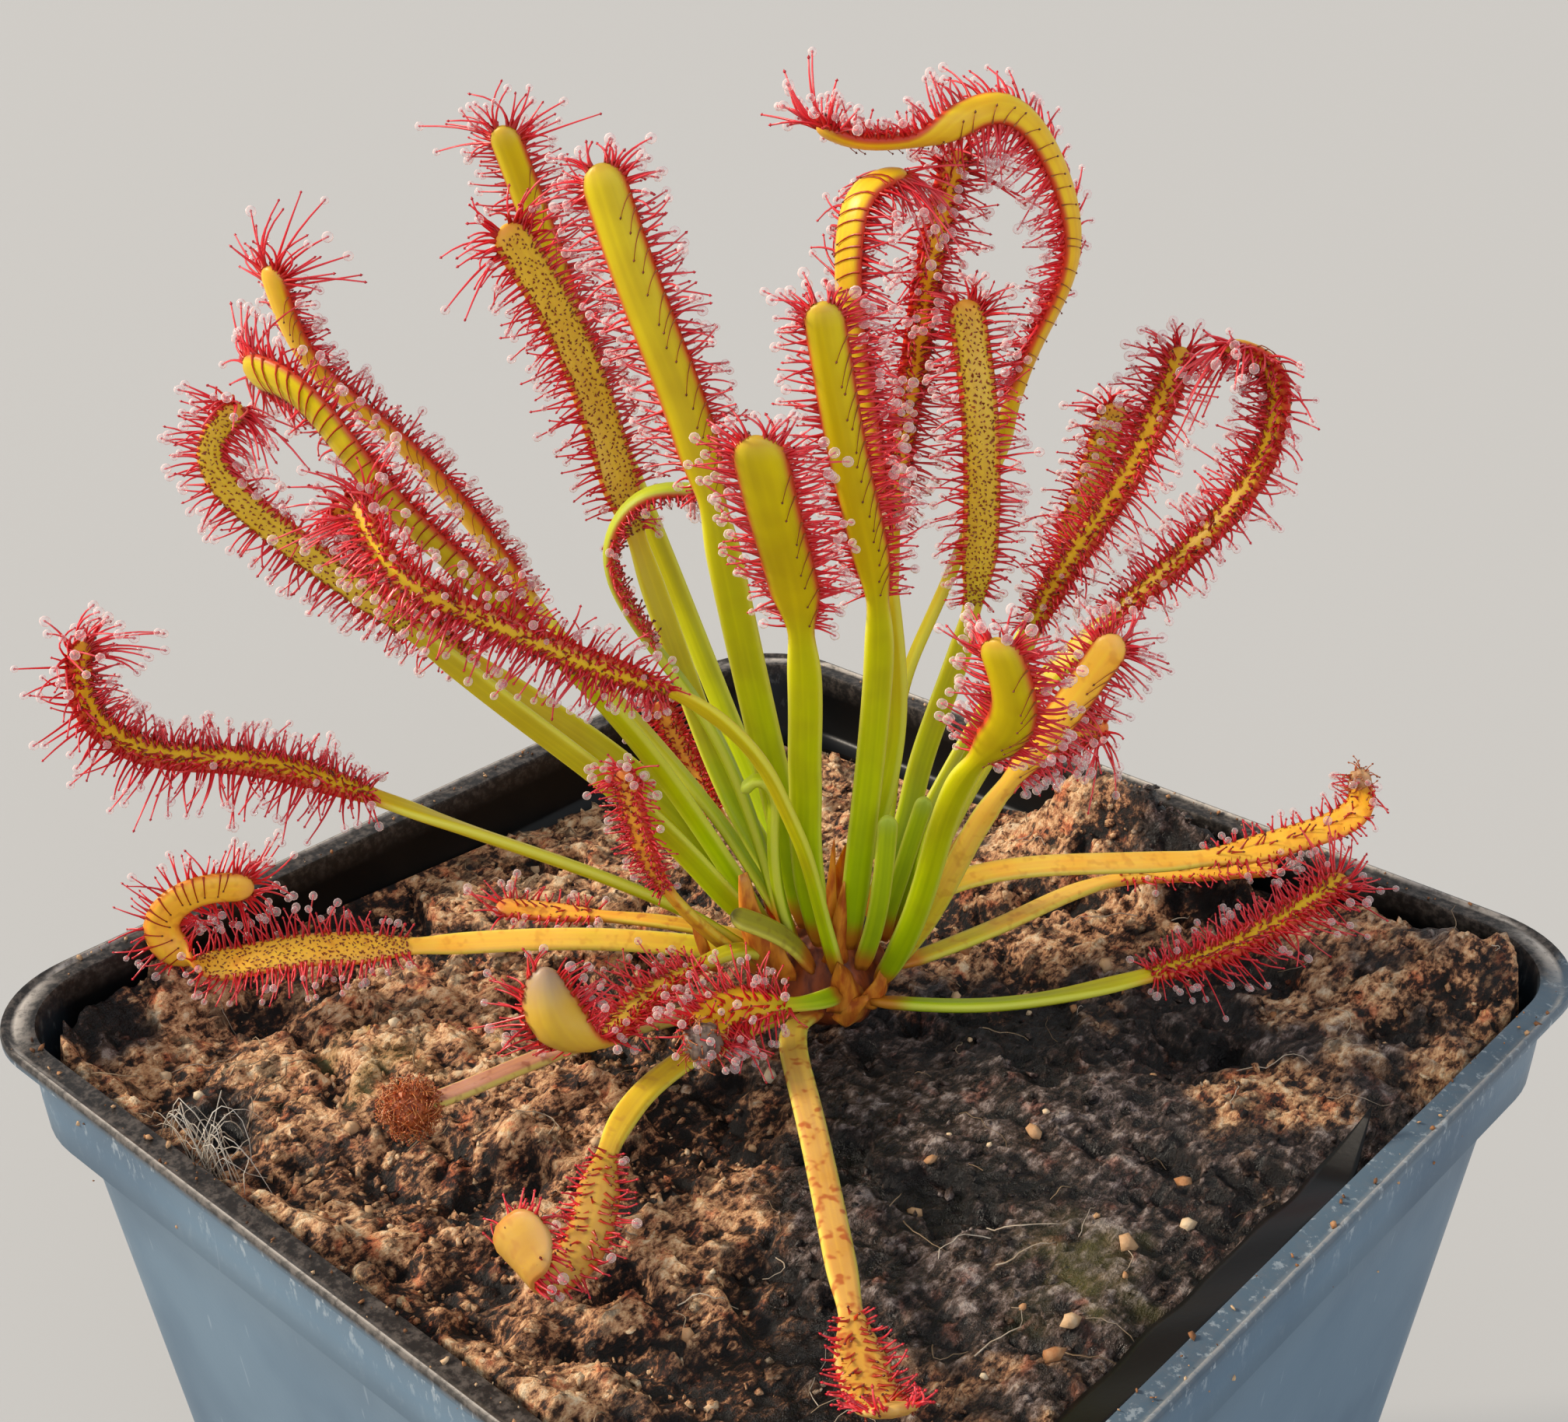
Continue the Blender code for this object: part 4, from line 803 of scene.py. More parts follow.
@dataclass
class Pot:
    """The moulded square pot, with the same sizes as its solid and finer corners."""

    rim_side: float = 90.0
    height: float = 95.0
    rim_radius: float = 9.0
    overhang: float = 1.2
    lip_thick: float = 1.2
    collar: float = 8.0
    step: float = 1.5
    wall: float = 1.0
    wall_radius: float = 12.0
    taper: float = 0.1
    floor_top: float = 3.0
    channel: float = 1.5
    foot: float = 4.0
    pad: float = 14.0
    drain_radius: float = 2.8
    drain_reach: float = 21.5
    corner_steps: int = 14
    side_steps: int = 10
    # The bead along the lip, painted with a pale highlight speckled like dust: how far out, and half its width
    bead: tuple = (44.7, 0.16)
    # The right side of the lip is wiped clean beyond here, and there takes the outside's painted blue-grey sheen
    wiped: tuple = (41.5, 43.0)
    specks: int = 300

    def wall_half(self, z: float | Array) -> float | Array:
        """Half the width over the wall's outer face: it narrows by the taper times the drop."""
        return self.rim_side / 2 - self.overhang - self.step - self.taper * (self.height - self.collar - z)

    def ring(self, half: float, radius: float, z: float) -> Array:
        """A rounded square at one height: corner arcs joined by straight sides, anticlockwise.

        Args:
            half: half the square's side.
            radius: its corners' radius.
            z: its height.

        Returns:
            Its points.
        """
        quarter = np.linspace(0, np.pi / 2, self.corner_steps + 1)
        share = np.linspace(0, 1, self.side_steps + 1)[1:-1, None]
        arcs = [(half - radius) * math.sqrt(2) * heading(turn + np.pi / 4) + radius * heading(quarter + turn)
                for turn in np.arange(4) * np.pi / 2]
        parts = [(arc, arc[-1] + share * (following[0] - arc[-1]))
                 for arc, following in zip(arcs, arcs[1:] + arcs[:1])]
        return at_height(np.concatenate([part for pair in parts for part in pair]), z)

    def profile(self) -> list[tuple[float, float, float]]:
        """Half widths, corner radii and heights: up the outside, over the lip and down inside.

        Returns:
            One row for each ring.
        """
        lip, top, wall, radius, rim = self.rim_side / 2, self.height, self.wall, self.wall_radius, self.rim_radius
        collar, ledge, brim = lip - self.overhang, top - self.collar, top - self.lip_thick
        inner, foot, floor = collar - wall, self.wall_half(0), self.floor_top
        low = self.wall_half(floor) - wall
        rows = [
            (self.pad * 0.5, 4, 0), (self.pad, 4, 0), (self.pad + 0.5, 4, self.channel - 0.2),
            (self.pad + 1, 4, self.channel), (foot - self.foot - 1, 8, self.channel), (foot - self.foot, 8, 0),
            (foot - 1, radius - 1, 0), (foot - 0.3, radius - 0.3, 0.3), (foot, radius, 1),
        ]
        rows += [(self.wall_half(z), radius, z) for z in np.linspace(8, ledge - 0.5, 12)]
        rows += [
            (self.wall_half(ledge) + 0.2, radius, ledge - 0.1), (collar - 0.4, radius - 1, ledge),
            (collar, radius - 1, ledge + 0.4), (collar, rim + 1.4, ledge + 3), (collar, rim + 1, brim - 0.3),
            (collar + 0.3, rim + 0.3, brim), (lip - 0.35, rim, brim), (lip, rim, brim + 0.35), (lip, rim, top - 0.3),
            (lip - 0.1, rim, top + 0.02), (lip - 0.32, rim, top + 0.04), (lip - 0.52, rim, top - 0.18),
            (lip - 0.8, rim, top - 0.2), (inner + 0.35, rim - 0.7, top - 0.1), (inner + 0.12, rim - 0.9, top - 0.15),
            (inner, rim - 1, top - 0.4), (inner, rim - 1, top - 2.5), (inner, radius - 2, ledge + wall + 0.5),
            (inner - 0.3, radius - 2, ledge + wall), (self.wall_half(ledge) - wall, radius - wall, ledge + wall - 0.3),
            (low, radius - wall, floor + 0.5), (low - 0.5, radius - wall, floor), (10, 4, floor),
        ]
        return rows

    def build(self) -> None:
        """Loft the pot, cut its drainage holes and mark its faces."""
        whole = lofted(np.stack([self.ring(*row) for row in self.profile()]))
        piece = add_piece("pot_shell", [(whole, PLASTIC.material())], ["pot"])
        cutter = bpy.data.objects.new("drain", bpy.data.meshes.new("drain"))
        self.fill_cutter(cutter.data)
        bpy.context.scene.collection.objects.link(cutter)
        modifier = piece.modifiers.new("drain_holes", "BOOLEAN")
        modifier.operation, modifier.solver, modifier.object = "DIFFERENCE", "EXACT", cutter
        graph = bpy.context.evaluated_depsgraph_get()
        cut = bpy.data.meshes.new_from_object(piece.evaluated_get(graph))
        piece.modifiers.remove(modifier)
        piece.data = cut
        bpy.data.objects.remove(cutter)
        co = np.zeros(len(cut.vertices) * 3)
        cut.vertices.foreach_get("co", co)
        set_marks(cut, self.marks(co.reshape(-1, 3) / MM))
        cut.set_sharp_from_angle(angle=math.radians(50))
        self.add_specks()
        self.add_strip()

    def marks(self, points: Array) -> dict[str, Array]:
        """Which points are outside, on the lip, on its bead and just under it, from 0 to 1.

        A point's reach is that of the rounded square through it: the larger coordinate, or in
        a corner the corner circle's middle plus the distance from it.

        Args:
            points: places in world mm.

        Returns:
            The marks, by name.
        """
        x, y, z = np.abs(points[:, 0]), np.abs(points[:, 1]), points[:, 2]
        collar = z > self.height - self.collar
        middle = np.where(collar, self.rim_side / 2 - self.rim_radius - 2, self.wall_half(z) - self.wall_radius)
        corner = (x > middle) & (y > middle)
        reach = np.where(corner, middle + np.hypot(x - middle, y - middle), np.maximum(x, y))
        wall = np.where(collar, self.rim_side / 2 - self.overhang, self.wall_half(z))
        outside = smoothstep(-0.8, -0.3, reach - wall)
        lip = smoothstep(self.height - 0.55, self.height - 0.3, z)
        crest, half = self.bead
        # The pale line along the bead is a painted highlight, speckled like dust
        brink = lip * np.exp(-((reach - crest) / half) ** 2)
        under = outside * (1 - lip) * smoothstep(self.height - 6, self.height - 1.5, z)
        # The wiped right side of the lip takes the outside's painted sheen and less dust
        clean = lip * smoothstep(*self.wiped, points[:, 0])
        return {"outside": outside * (1 - lip) + 0.6 * clean, "lip": lip - 0.75 * clean,
                "brink": brink * (1 - 0.5 * clean), "skirt": under + 0.35 * clean}

    def fill_cutter(self, mesh: bpy.types.Mesh) -> None:
        """Eight round posts, where the floor's holes are.

        Args:
            mesh: the cutter's empty mesh.
        """
        circle = self.drain_radius * heading(around(24))
        places = [(i, j) for i in (-1, 0, 1) for j in (-1, 0, 1) if i or j]
        posts = [circle + np.multiply(place, self.drain_reach) for place in places]
        whole = Surface.joined([lofted(np.stack([at_height(post, z) for z in (-4.0, 7.0)])) for post in posts])
        mesh.from_pydata((whole.points * MM).tolist(), [], whole.quads.tolist() + whole.tris.tolist())

    def add_specks(self) -> None:
        """Peat dust and crumbs that stick to the lip and the upper outside."""
        rng = np.random.default_rng(21)
        count = self.specks
        side, along = rng.integers(0, 4, count), rng.uniform(-1, 1, count) * (self.rim_side / 2 - 7)
        on_lip = rng.uniform(0, 1, count) < 0.7
        drop = np.where(on_lip, 0, rng.exponential(4.0, count) + 1.5)
        collar = self.rim_side / 2 - self.overhang
        reach = np.where(on_lip, rng.uniform(collar - 0.9, collar + 0.9, count),
                         np.where(drop < self.collar, collar, self.wall_half(self.height - drop)))
        out = heading(side * np.pi / 2)
        flat = out * reach[:, None] + np.stack([-out[:, 1], out[:, 0]], -1) * along[:, None]
        places = at_height(flat, self.height - drop)[drop < 20]
        size = 0.08 + 0.24 * rng.uniform(0, 1, len(places)) ** 2
        specks = copies(pebble(rng, 0.4), places, pebble_axes(rng, len(places), size, 0.3),
                        {"tone": rng.uniform(0, 0.8, len(places))})
        add_piece("pot_specks", [(specks, GRIT.material())])

    def add_strip(self) -> None:
        """A torn strip of the same black plastic that lies along the inside of the right wall.

        It runs from the wall inwards and a little down, and its far end turns up into a pointed flap.
        """
        y, x = np.meshgrid(np.linspace(-40, 12.8, 70), np.linspace(0, 1, 7), indexing="ij")
        flap = np.clip((y - 8) / 4.8, 0, 1)
        inward = 3.0 * (1 - 0.97 * flap) * (1 + 0.03 * np.sin(0.9 * y) * x) * x + 1.5 * flap
        z = self.height - 0.9 + (1 - flap) * (0.15 * np.sin(0.55 * y + 2 * x) - 0.9 * x) + 2.8 * flap ** 1.3
        top = np.stack([self.rim_side / 2 - self.overhang - self.wall - inward, y, z], -1)
        under = top - (0, 0, 0.3)
        strip = lofted(np.concatenate([top, under[:, ::-1]], 1))
        strip.marks = {key: np.zeros(len(strip.points)) for key in ("outside", "lip", "brink", "skirt")}
        add_piece("pot_torn_strip", [(strip, PLASTIC.material())])


def pebble(rng: Rng, rough: float) -> Surface:
    """A small stone of 20 faces: a five-sided ball whose points are moved in and out at random.

    Args:
        rng: the seeded source of its shape.
        rough: the greatest move, as a share of its radius.

    Returns:
        The stone, about its own origin.
    """
    shape = ball(5, 2)
    shape.points *= 1 + rng.uniform(-rough, rough, (len(shape.points), 1))
    return shape


def pebble_axes(rng: Rng, count: int, radius: Array, flat: float) -> Array:
    """Randomly turned axes, each copy's third one flattened.

    Args:
        rng: the seeded source of the turns.
        count: how many copies.
        radius: each copy's size in mm.
        flat: the least share of the radius that an axis keeps.

    Returns:
        Three scaled directions for each copy.
    """
    first = unit(rng.normal(size=(count, 3)))
    second = unit(np.cross(first, rng.normal(size=(count, 3))))
    frame_axes = np.stack([first, second, np.cross(first, second)], 1)
    return frame_axes * (radius[:, None] * rng.uniform(flat, 1.1, (count, 3)))[..., None]


@dataclass
class Peat:
    """The peat that fills the pot: the solid's relief with crumbs, pits, grit and fibres."""

    level: float = 91.0
    cells: int = 270
    lumps: int = 46
    lump_height: float = 0.8
    seed: int = 11
    top_half: float = 42.4
    ledge_half: float = 41.0
    top_radius: float = 8.7
    radius: float = 10.0
    ledge: float = 88.4
    bottom: float = 3.4
    bottom_half: float = 32.5
    # How far out loose crumbs and fibres may lie
    loose_half: float = 41.5
    # How many crumbs lie on the heap at the back, on the dry peat and anywhere
    strewn: tuple = (150, 1900, 2300)
    # Hollows and heaps: x, y, reach and rise in mm
    forms: tuple = (
        (-23.0, -37.0, 3.2, -2.6), (-16.0, -37.5, 3.6, -3.2), (-10.0, -30.5, 6.0, -2.8), (3.6, -11.3, 5.0, -2.2),
        (8.4, 6.9, 4.0, -1.4), (23.0, 18.0, 4.2, -2.0), (-43.0, -37.0, 9.0, 5.4), (0.5, 38.5, 4.6, 8.2),
        (7.5, 38.8, 4.4, 7.6), (13.5, 39.2, 3.4, 4.4), (26.0, 39.5, 7.0, 1.8), (36.0, 38.0, 7.0, 2.2),
        (34.0, -22.0, 6.0, -1.0), (40.0, 38.5, 6.5, 4.2), (42.0, 28.0, 4.5, 2.2), (25.5, 19.7, 3.5, -2.0),
        (-28.0, -34.5, 3.0, 1.4), (-43.5, -28.0, 7.0, 3.8))
    # Crumbs of five sizes: width and depth in mm, what they add to the share that paints crumb tops lighter and gaps
    # darker as light and shade, and a seed
    crumbs: tuple = ((7.5, 0.9, 0.16, 21), (3.6, 0.8, 0.2, 22), (1.9, 0.6, 0.24, 23), (1.05, -0.5, -0.26, 24),
                     (0.62, -0.4, -0.24, 25))
    # Wetter and drier spots, the one in the left corner also standing in for the shade there: x, y, reach in mm and how
    # much damper
    spots: tuple = ((-42, -38, 6, 1.3), (32, 16, 6, -1.0), (2, 26, 10, -0.9), (41, 36, 6, -0.8), (9, 41, 6, 0.9),
                    (14, -29, 11, -0.55), (5, -16, 6, -0.35), (29, 33, 8, -0.45), (-25, -36, 4, 0.9))
    # The same in the plant's frame, and mossy spots there
    plant_spots: tuple = ((6, -52, 14, -0.5), (46, -14, 7, -0.5))
    moss: tuple = ((-36, -8, 8, 0.7), (16, -34, 8, 0.6))

    def broad_height(self, xy: Array) -> Array:
        """The solid's own relief over the level at the crown.

        A fall to the left and rise to the front, a hollow in the left corner, a trench at the
        right wall, and round lumps of height * exp(-(distance / radius)^2), all faded at the crown.

        Args:
            xy: places in world mm.

        Returns:
            The height in mm.
        """
        rng = np.random.default_rng(self.seed)
        middles = rng.uniform(-40, 40, (self.lumps, 2))
        heights = rng.uniform(-1, 1, self.lumps) * self.lump_height
        radii = rng.uniform(3, 6.5, self.lumps)
        x, y = xy[..., 0], xy[..., 1]
        relief = 1.6 * x / 45 - 1.4 * y / 45 + 1.2 * x * y / 45 ** 2
        relief = mounded(relief, xy, [(-38, -34, 9.0, -4.5)]) - 2.0 * np.exp(-((x - 44) / 5.0) ** 2)
        relief = mounded(relief, xy, zip(*middles.T, radii, heights))
        near = np.hypot(x - CROWN_PLACE[0], y - CROWN_PLACE[1])
        return -0.4 + np.clip((near - 6.5) / 9.0, 0, 1) * relief

    def fine_height(self, xy: Array) -> tuple[Array, Array]:
        """Ragged crumbs of five sizes over pits, with the hollows and heaps that the photo shows.

        Each size adds its depth times billowed noise, read at places that are warped by
        smaller noise. The two smallest are turned over, so that they stand up in points. A pit
        takes up to 2 mm off where broad noise is low, and wetter peat is flatter.

        Args:
            xy: places in world mm.

        Returns:
            The height in mm over the broad relief, and the share from pit to crumb top, which paints pits and hollows
            darker as shade, crumb tops lighter and a pool of light at the left.
        """
        x, y = xy[..., 0], xy[..., 1]
        warp = sum(far * np.stack([ripple(xy, cell, seed), ripple(xy, cell, seed + 1)], -1)
                   for cell, seed, far in ((2.4, 5, 1.8), (0.9, 7, 0.9)))
        where = xy + warp
        pit = smoothstep(0.48, 0.28, ripple(xy + 2 * warp, 6.5, 9) * 0.65 + ripple(xy, 2.6, 10) * 0.35)
        # Pits get a low share: painted shade
        height, share = -1.9 * pit, 0.5 - 0.42 * pit
        for size, depth, weight, seed in self.crumbs:
            lumps = billow(where + 7 * seed, size, seed) - 0.4
            height, share = height + depth * lumps, share + weight * lumps
        height = mounded(height * (1 - 0.35 * self.dampness_and_shade(xy)[0]), where - 1, self.forms)
        # Hollows also get a lower share: painted shade
        share = mounded(share, where - 1, [(*form, 0.1 * min(rise, 0)) for *form, rise in self.forms])
        gap = np.exp(-((x - 43) / 2.6) ** 2) * smoothstep(20, 14, y) * smoothstep(-41, -36, y)
        bank = smoothstep(-37.5, -41, y) * smoothstep(26, 14, x)
        # The share is lifted over a broad patch at the left: a painted pool of light
        return height - 3.0 * gap + 2.0 * bank, np.clip(mounded(share, xy, [(-30, -26, 15, 0.1)]), 0, 1)

    def dampness_and_shade(self, xy: Array) -> tuple[Array, Array]:
        """How wet and how mossy the peat is: dry at the plant's left and back, wet at its right front, where the darker
        wet colour also paints the plant's shadow.

        Args:
            xy: places in world mm.

        Returns:
            Both from 0 to 1.
        """
        plant = (at_height(xy, CROWN_PLACE[2]) - CROWN_PLACE) @ PLANT_AXES.T
        right, back = plant[..., 0], plant[..., 1]
        # Darker towards the plant's right front: wetter there, and painted shade of the plant too
        damp_and_shade = smoothstep(-16, 8, right - 0.25 * back) - 0.55 * smoothstep(-8, 14, back)
        damp_and_shade = mounded(mounded(damp_and_shade, plant, self.plant_spots), xy, self.spots)
        return np.clip(damp_and_shade, 0, 1), mounded(np.zeros_like(right), plant, self.moss) * ripple(xy, 1.7, 12)

    def outline(self, u: Array, v: Array, half: float, radius: float) -> Array:
        """Square grid coordinates mapped into a rounded square.

        Along each ray the square's edge is at half / max(|cos|, |sin|), and the rounded edge
        there or on the corner's circle. A point moves in by their ratio times its reach squared.

        Args:
            u: coordinates along X, from -1 to 1.
            v: coordinates along Y.
            half: half the square's side.
            radius: its corners' radius.

        Returns:
            The places in mm.
        """
        reach = np.maximum(np.abs(u), np.abs(v))
        angle = np.arctan2(v, u)
        c, s = np.abs(np.cos(angle)), np.abs(np.sin(angle))
        square = half / np.maximum(c, s)
        inner = half - radius
        middle = inner * (c + s)
        under = np.maximum(middle ** 2 - 2 * inner ** 2 + radius ** 2, 0)
        rounded = np.where(np.minimum(c, s) * square > inner, middle + np.sqrt(under), square)
        return np.stack([u, v], -1) * (half * (1 - (1 - rounded / square) * reach ** 2))[..., None]

    def surface_height(self, xy: Array) -> Array:
        """World height of the dressed peat."""
        return self.level + self.broad_height(xy) + self.fine_height(xy)[0]

    def build(self) -> None:
        """The peat with its loose crumbs, grit and fibres."""
        grid = np.linspace(-1, 1, self.cells + 1)
        u, v = np.meshgrid(grid, grid, indexing="ij")
        reach = np.maximum(np.abs(u), np.abs(v))
        xy = self.outline(u, v, self.top_half, self.top_radius)
        fine, share = self.fine_height(xy)
        z = self.level + self.broad_height(xy) + fine * smoothstep(1.0, 0.985, reach)
        on_ledge = smoothstep(0.9, 1.0, reach) * smoothstep(self.ledge + 0.4, self.ledge, z)
        xy = xy * (1 - (1 - self.ledge_half / self.top_half) * on_ledge)[..., None]
        damp_and_shade, moss = self.dampness_and_shade(xy)
        top = at_height(xy, z).reshape(-1, 3)
        number = np.arange(u.size).reshape(u.shape)
        quads = np.stack([number[:-1, :-1], number[1:, :-1], number[1:, 1:], number[:-1, 1:]], -1).reshape(-1, 4)
        edge = np.concatenate([number[:-1, 0], number[-1, :-1], number[:0:-1, -1], number[0, :0:-1]])
        sides = u.ravel()[edge], v.ravel()[edge]
        rings = [at_height(self.outline(*sides, half, self.radius), height) for half, height in (
            (self.bottom_half, self.bottom), (self.ledge_half - 0.6, 80.0), (self.ledge_half, 85.0))]
        crust = Surface(top, quads, marks={"relief": share.ravel(), "damp_and_shade": damp_and_shade.ravel(), "moss": moss.ravel()})
        skirt = lofted(np.stack([*rings, top[edge]]), capped=False)
        fan = spokes(np.arange(len(edge)), len(edge))[:, ::-1]
        base = Surface(np.vstack([rings[0], (0, 0, self.bottom)]), tris=fan)
        for part in (skirt, base):
            part.marks = {key: np.full(len(part.points), value)
                          for key, value in (("relief", 0.3), ("damp_and_shade", 0.7), ("moss", 0.0))}
        add_piece("peat_body", [(part, PEAT.material()) for part in (crust, skirt, base)], ["soil"])
        add_piece("peat_crumbs", [(self.loose_crumbs(), PEAT.material())])
        self.add_grit()
        self.add_fibres()

    def sites(self, rng: Rng, count: int, clear: float) -> Array:
        """Places on the peat at random.

        Args:
            rng: the seeded source of the places.
            count: how many are wanted at most.
            clear: how far they stay from the crown's middle.

        Returns:
            The places in world mm.
        """
        half, corner = self.ledge_half, 9.0
        xy = rng.uniform(-half, half, (count * 2, 2))
        away = np.linalg.norm(xy - CROWN_PLACE[:2], axis=1) > clear
        within = np.linalg.norm(np.maximum(np.abs(xy) - (half - corner), 0), axis=1) < corner
        return xy[away & within][:count]

    def loose_crumbs(self) -> Surface:
        """Ragged crumbs and fibre ends that lie on the crust, with more of them on the heap at the back.

        Returns:
            All of them as one surface.
        """
        rng = np.random.default_rng(31)
        heaped, dry, anywhere = self.strewn
        heap = np.array([5.0, 39.0]) + rng.normal(size=(heaped, 2)) * (5.0, 1.6)
        wide = self.sites(rng, 7000, 7)
        wide = wide[self.dampness_and_shade(wide)[0] < 0.3][:dry]
        xy = np.concatenate([self.sites(rng, anywhere, 7), wide, np.clip(heap, -self.loose_half, 41.8)])
        size = rng.uniform(0.3, 0.85, len(xy)) ** 2 * 0.85
        raised = np.concatenate([np.zeros(len(xy) - heaped), rng.uniform(0, 1, heaped) ** 2 * 0.7])
        places = at_height(xy, self.surface_height(xy) + 0.1 * size + raised)
        damp_and_shade, moss = self.dampness_and_shade(xy)
        relief = 0.35 + 0.4 * rng.uniform(0, 1, len(xy))
        return copies(pebble(rng, 0.45), places, pebble_axes(rng, len(xy), size, 0.25),
                      {"relief": relief, "damp_and_shade": damp_and_shade, "moss": moss})

    def add_grit(self) -> None:
        """A few tan and pale stones, half sunk."""
        rng = np.random.default_rng(33)
        xy = self.sites(rng, 70, 9)
        size = rng.uniform(0.25, 1.0, len(xy)) ** 2.2 * 0.85 + 0.2
        grit = copies(pebble(rng, 0.22), at_height(xy, self.surface_height(xy) + 0.25 * size),
                      pebble_axes(rng, len(xy), size, 0.6), {"tone": rng.uniform(0.3, 1, len(xy))})
        add_piece("peat_grit", [(grit, GRIT.material())])

    def add_fibres(self) -> None:
        """Thin roots and hairs that curl over the crust, with a tuft at the front left."""
        rng = np.random.default_rng(35)
        xy = self.sites(rng, 120, 8)
        tuft = np.array([-18.5, -41.0]) + rng.normal(size=(30, 2)) * 0.8
        start = np.concatenate([xy, tuft])
        count, places = len(start), 9
        length = np.concatenate([rng.uniform(1.5, 7, len(xy)), rng.uniform(4, 9, len(tuft))])
        turn = rng.uniform(0, 2 * np.pi, count)[:, None] + np.cumsum(rng.normal(size=(count, places)) * 0.42, 1)
        step = heading(turn) * (length / places)[:, None, None]
        flat = np.clip(start[:, None] + np.cumsum(step, 1) - step[:, :1], -self.loose_half, self.loose_half)
        lift = np.concatenate([rng.uniform(0, 0.5, len(xy)), rng.uniform(1.0, 5.0, len(tuft))])
        arch = np.sin(np.linspace(0, np.pi, places))
        z = self.surface_height(flat[:, :1]) + self.broad_height(flat) - self.broad_height(flat[:, :1]) + 0.1
        z = np.maximum(z, self.surface_height(flat) + 0.03) + lift[:, None] * arch
        radius = rng.uniform(0.035, 0.075, count)[:, None] * np.linspace(1, 0.5, places)
        tone = np.concatenate([rng.uniform(0.1, 0.8, len(xy)), rng.uniform(0.7, 1, len(tuft))])
        fibres = tubes(at_height(flat, z), radius, 3, np.tile([0.1, 0.2, 1.0], (count, 1)),
                       {"tone": np.repeat(tone[:, None], places, 1)})
        add_piece("peat_fibres", [(fibres, ROOTLET.material())])


@dataclass(frozen=True)
class Look:
    """How one leaf is dressed.

    Args:
        tissue: its skin.
        face: what grows on its sticky side.
        edge: length in mm of the tentacles at its margins.
        fan: length in mm of the tentacles at its tip.
        drops: share of the margins' tentacles that carry a drop.
        fan_drops: the same at the tip.
        spread: degrees from the face's own direction that the margins' tentacles lean.
        skew: degrees that the whole fringe is turned towards the blade's side direction.
        bent_back: mm between the stalks that lie across its back, 0 for none.
        crossing: how much of the back's width they cross, and from which margin by its sign.
        slant: mm that they slant back along it.
        uneven: how much longer the tentacles of one margin are, as a share, by its sign.
        turn: degrees that the whole blade is turned about its midrib.
        broaden: how much wider the blade's end is than its solid's.
        twist: degrees that the blade's end is turned further.
        twisted: where that twist begins and ends, in mm from the tip.
        cup: how far the blade's end is hollowed, as a share of its width.
        taper: how long its tip's rounding is, as a share of its width.
    """

    tissue: Tissue
    face: Face = Face.COMB
    edge: float = 3.0
    fan: float = 3.6
    drops: float = 0.92
    fan_drops: float = 0.6
    spread: float = 92.0
    skew: float = 0.0
    bent_back: float = 0.0
    crossing: float = -0.6
    slant: float = 1.5
    uneven: float = 0.0
    turn: float = 0.0
    broaden: float = 1.0
    twist: float = 0.0
    twisted: tuple = (11.0, 4.0)
    cup: float = 0.0
    taper: float = 0.56


class Leaf(NamedTuple):
    """One leaf: its slot, widths and blade length in mm, the way its face looks, its dress and its route."""

    slot: str
    petiole: float
    blade: float
    blade_length: float
    face: tuple
    look: Look
    route: tuple


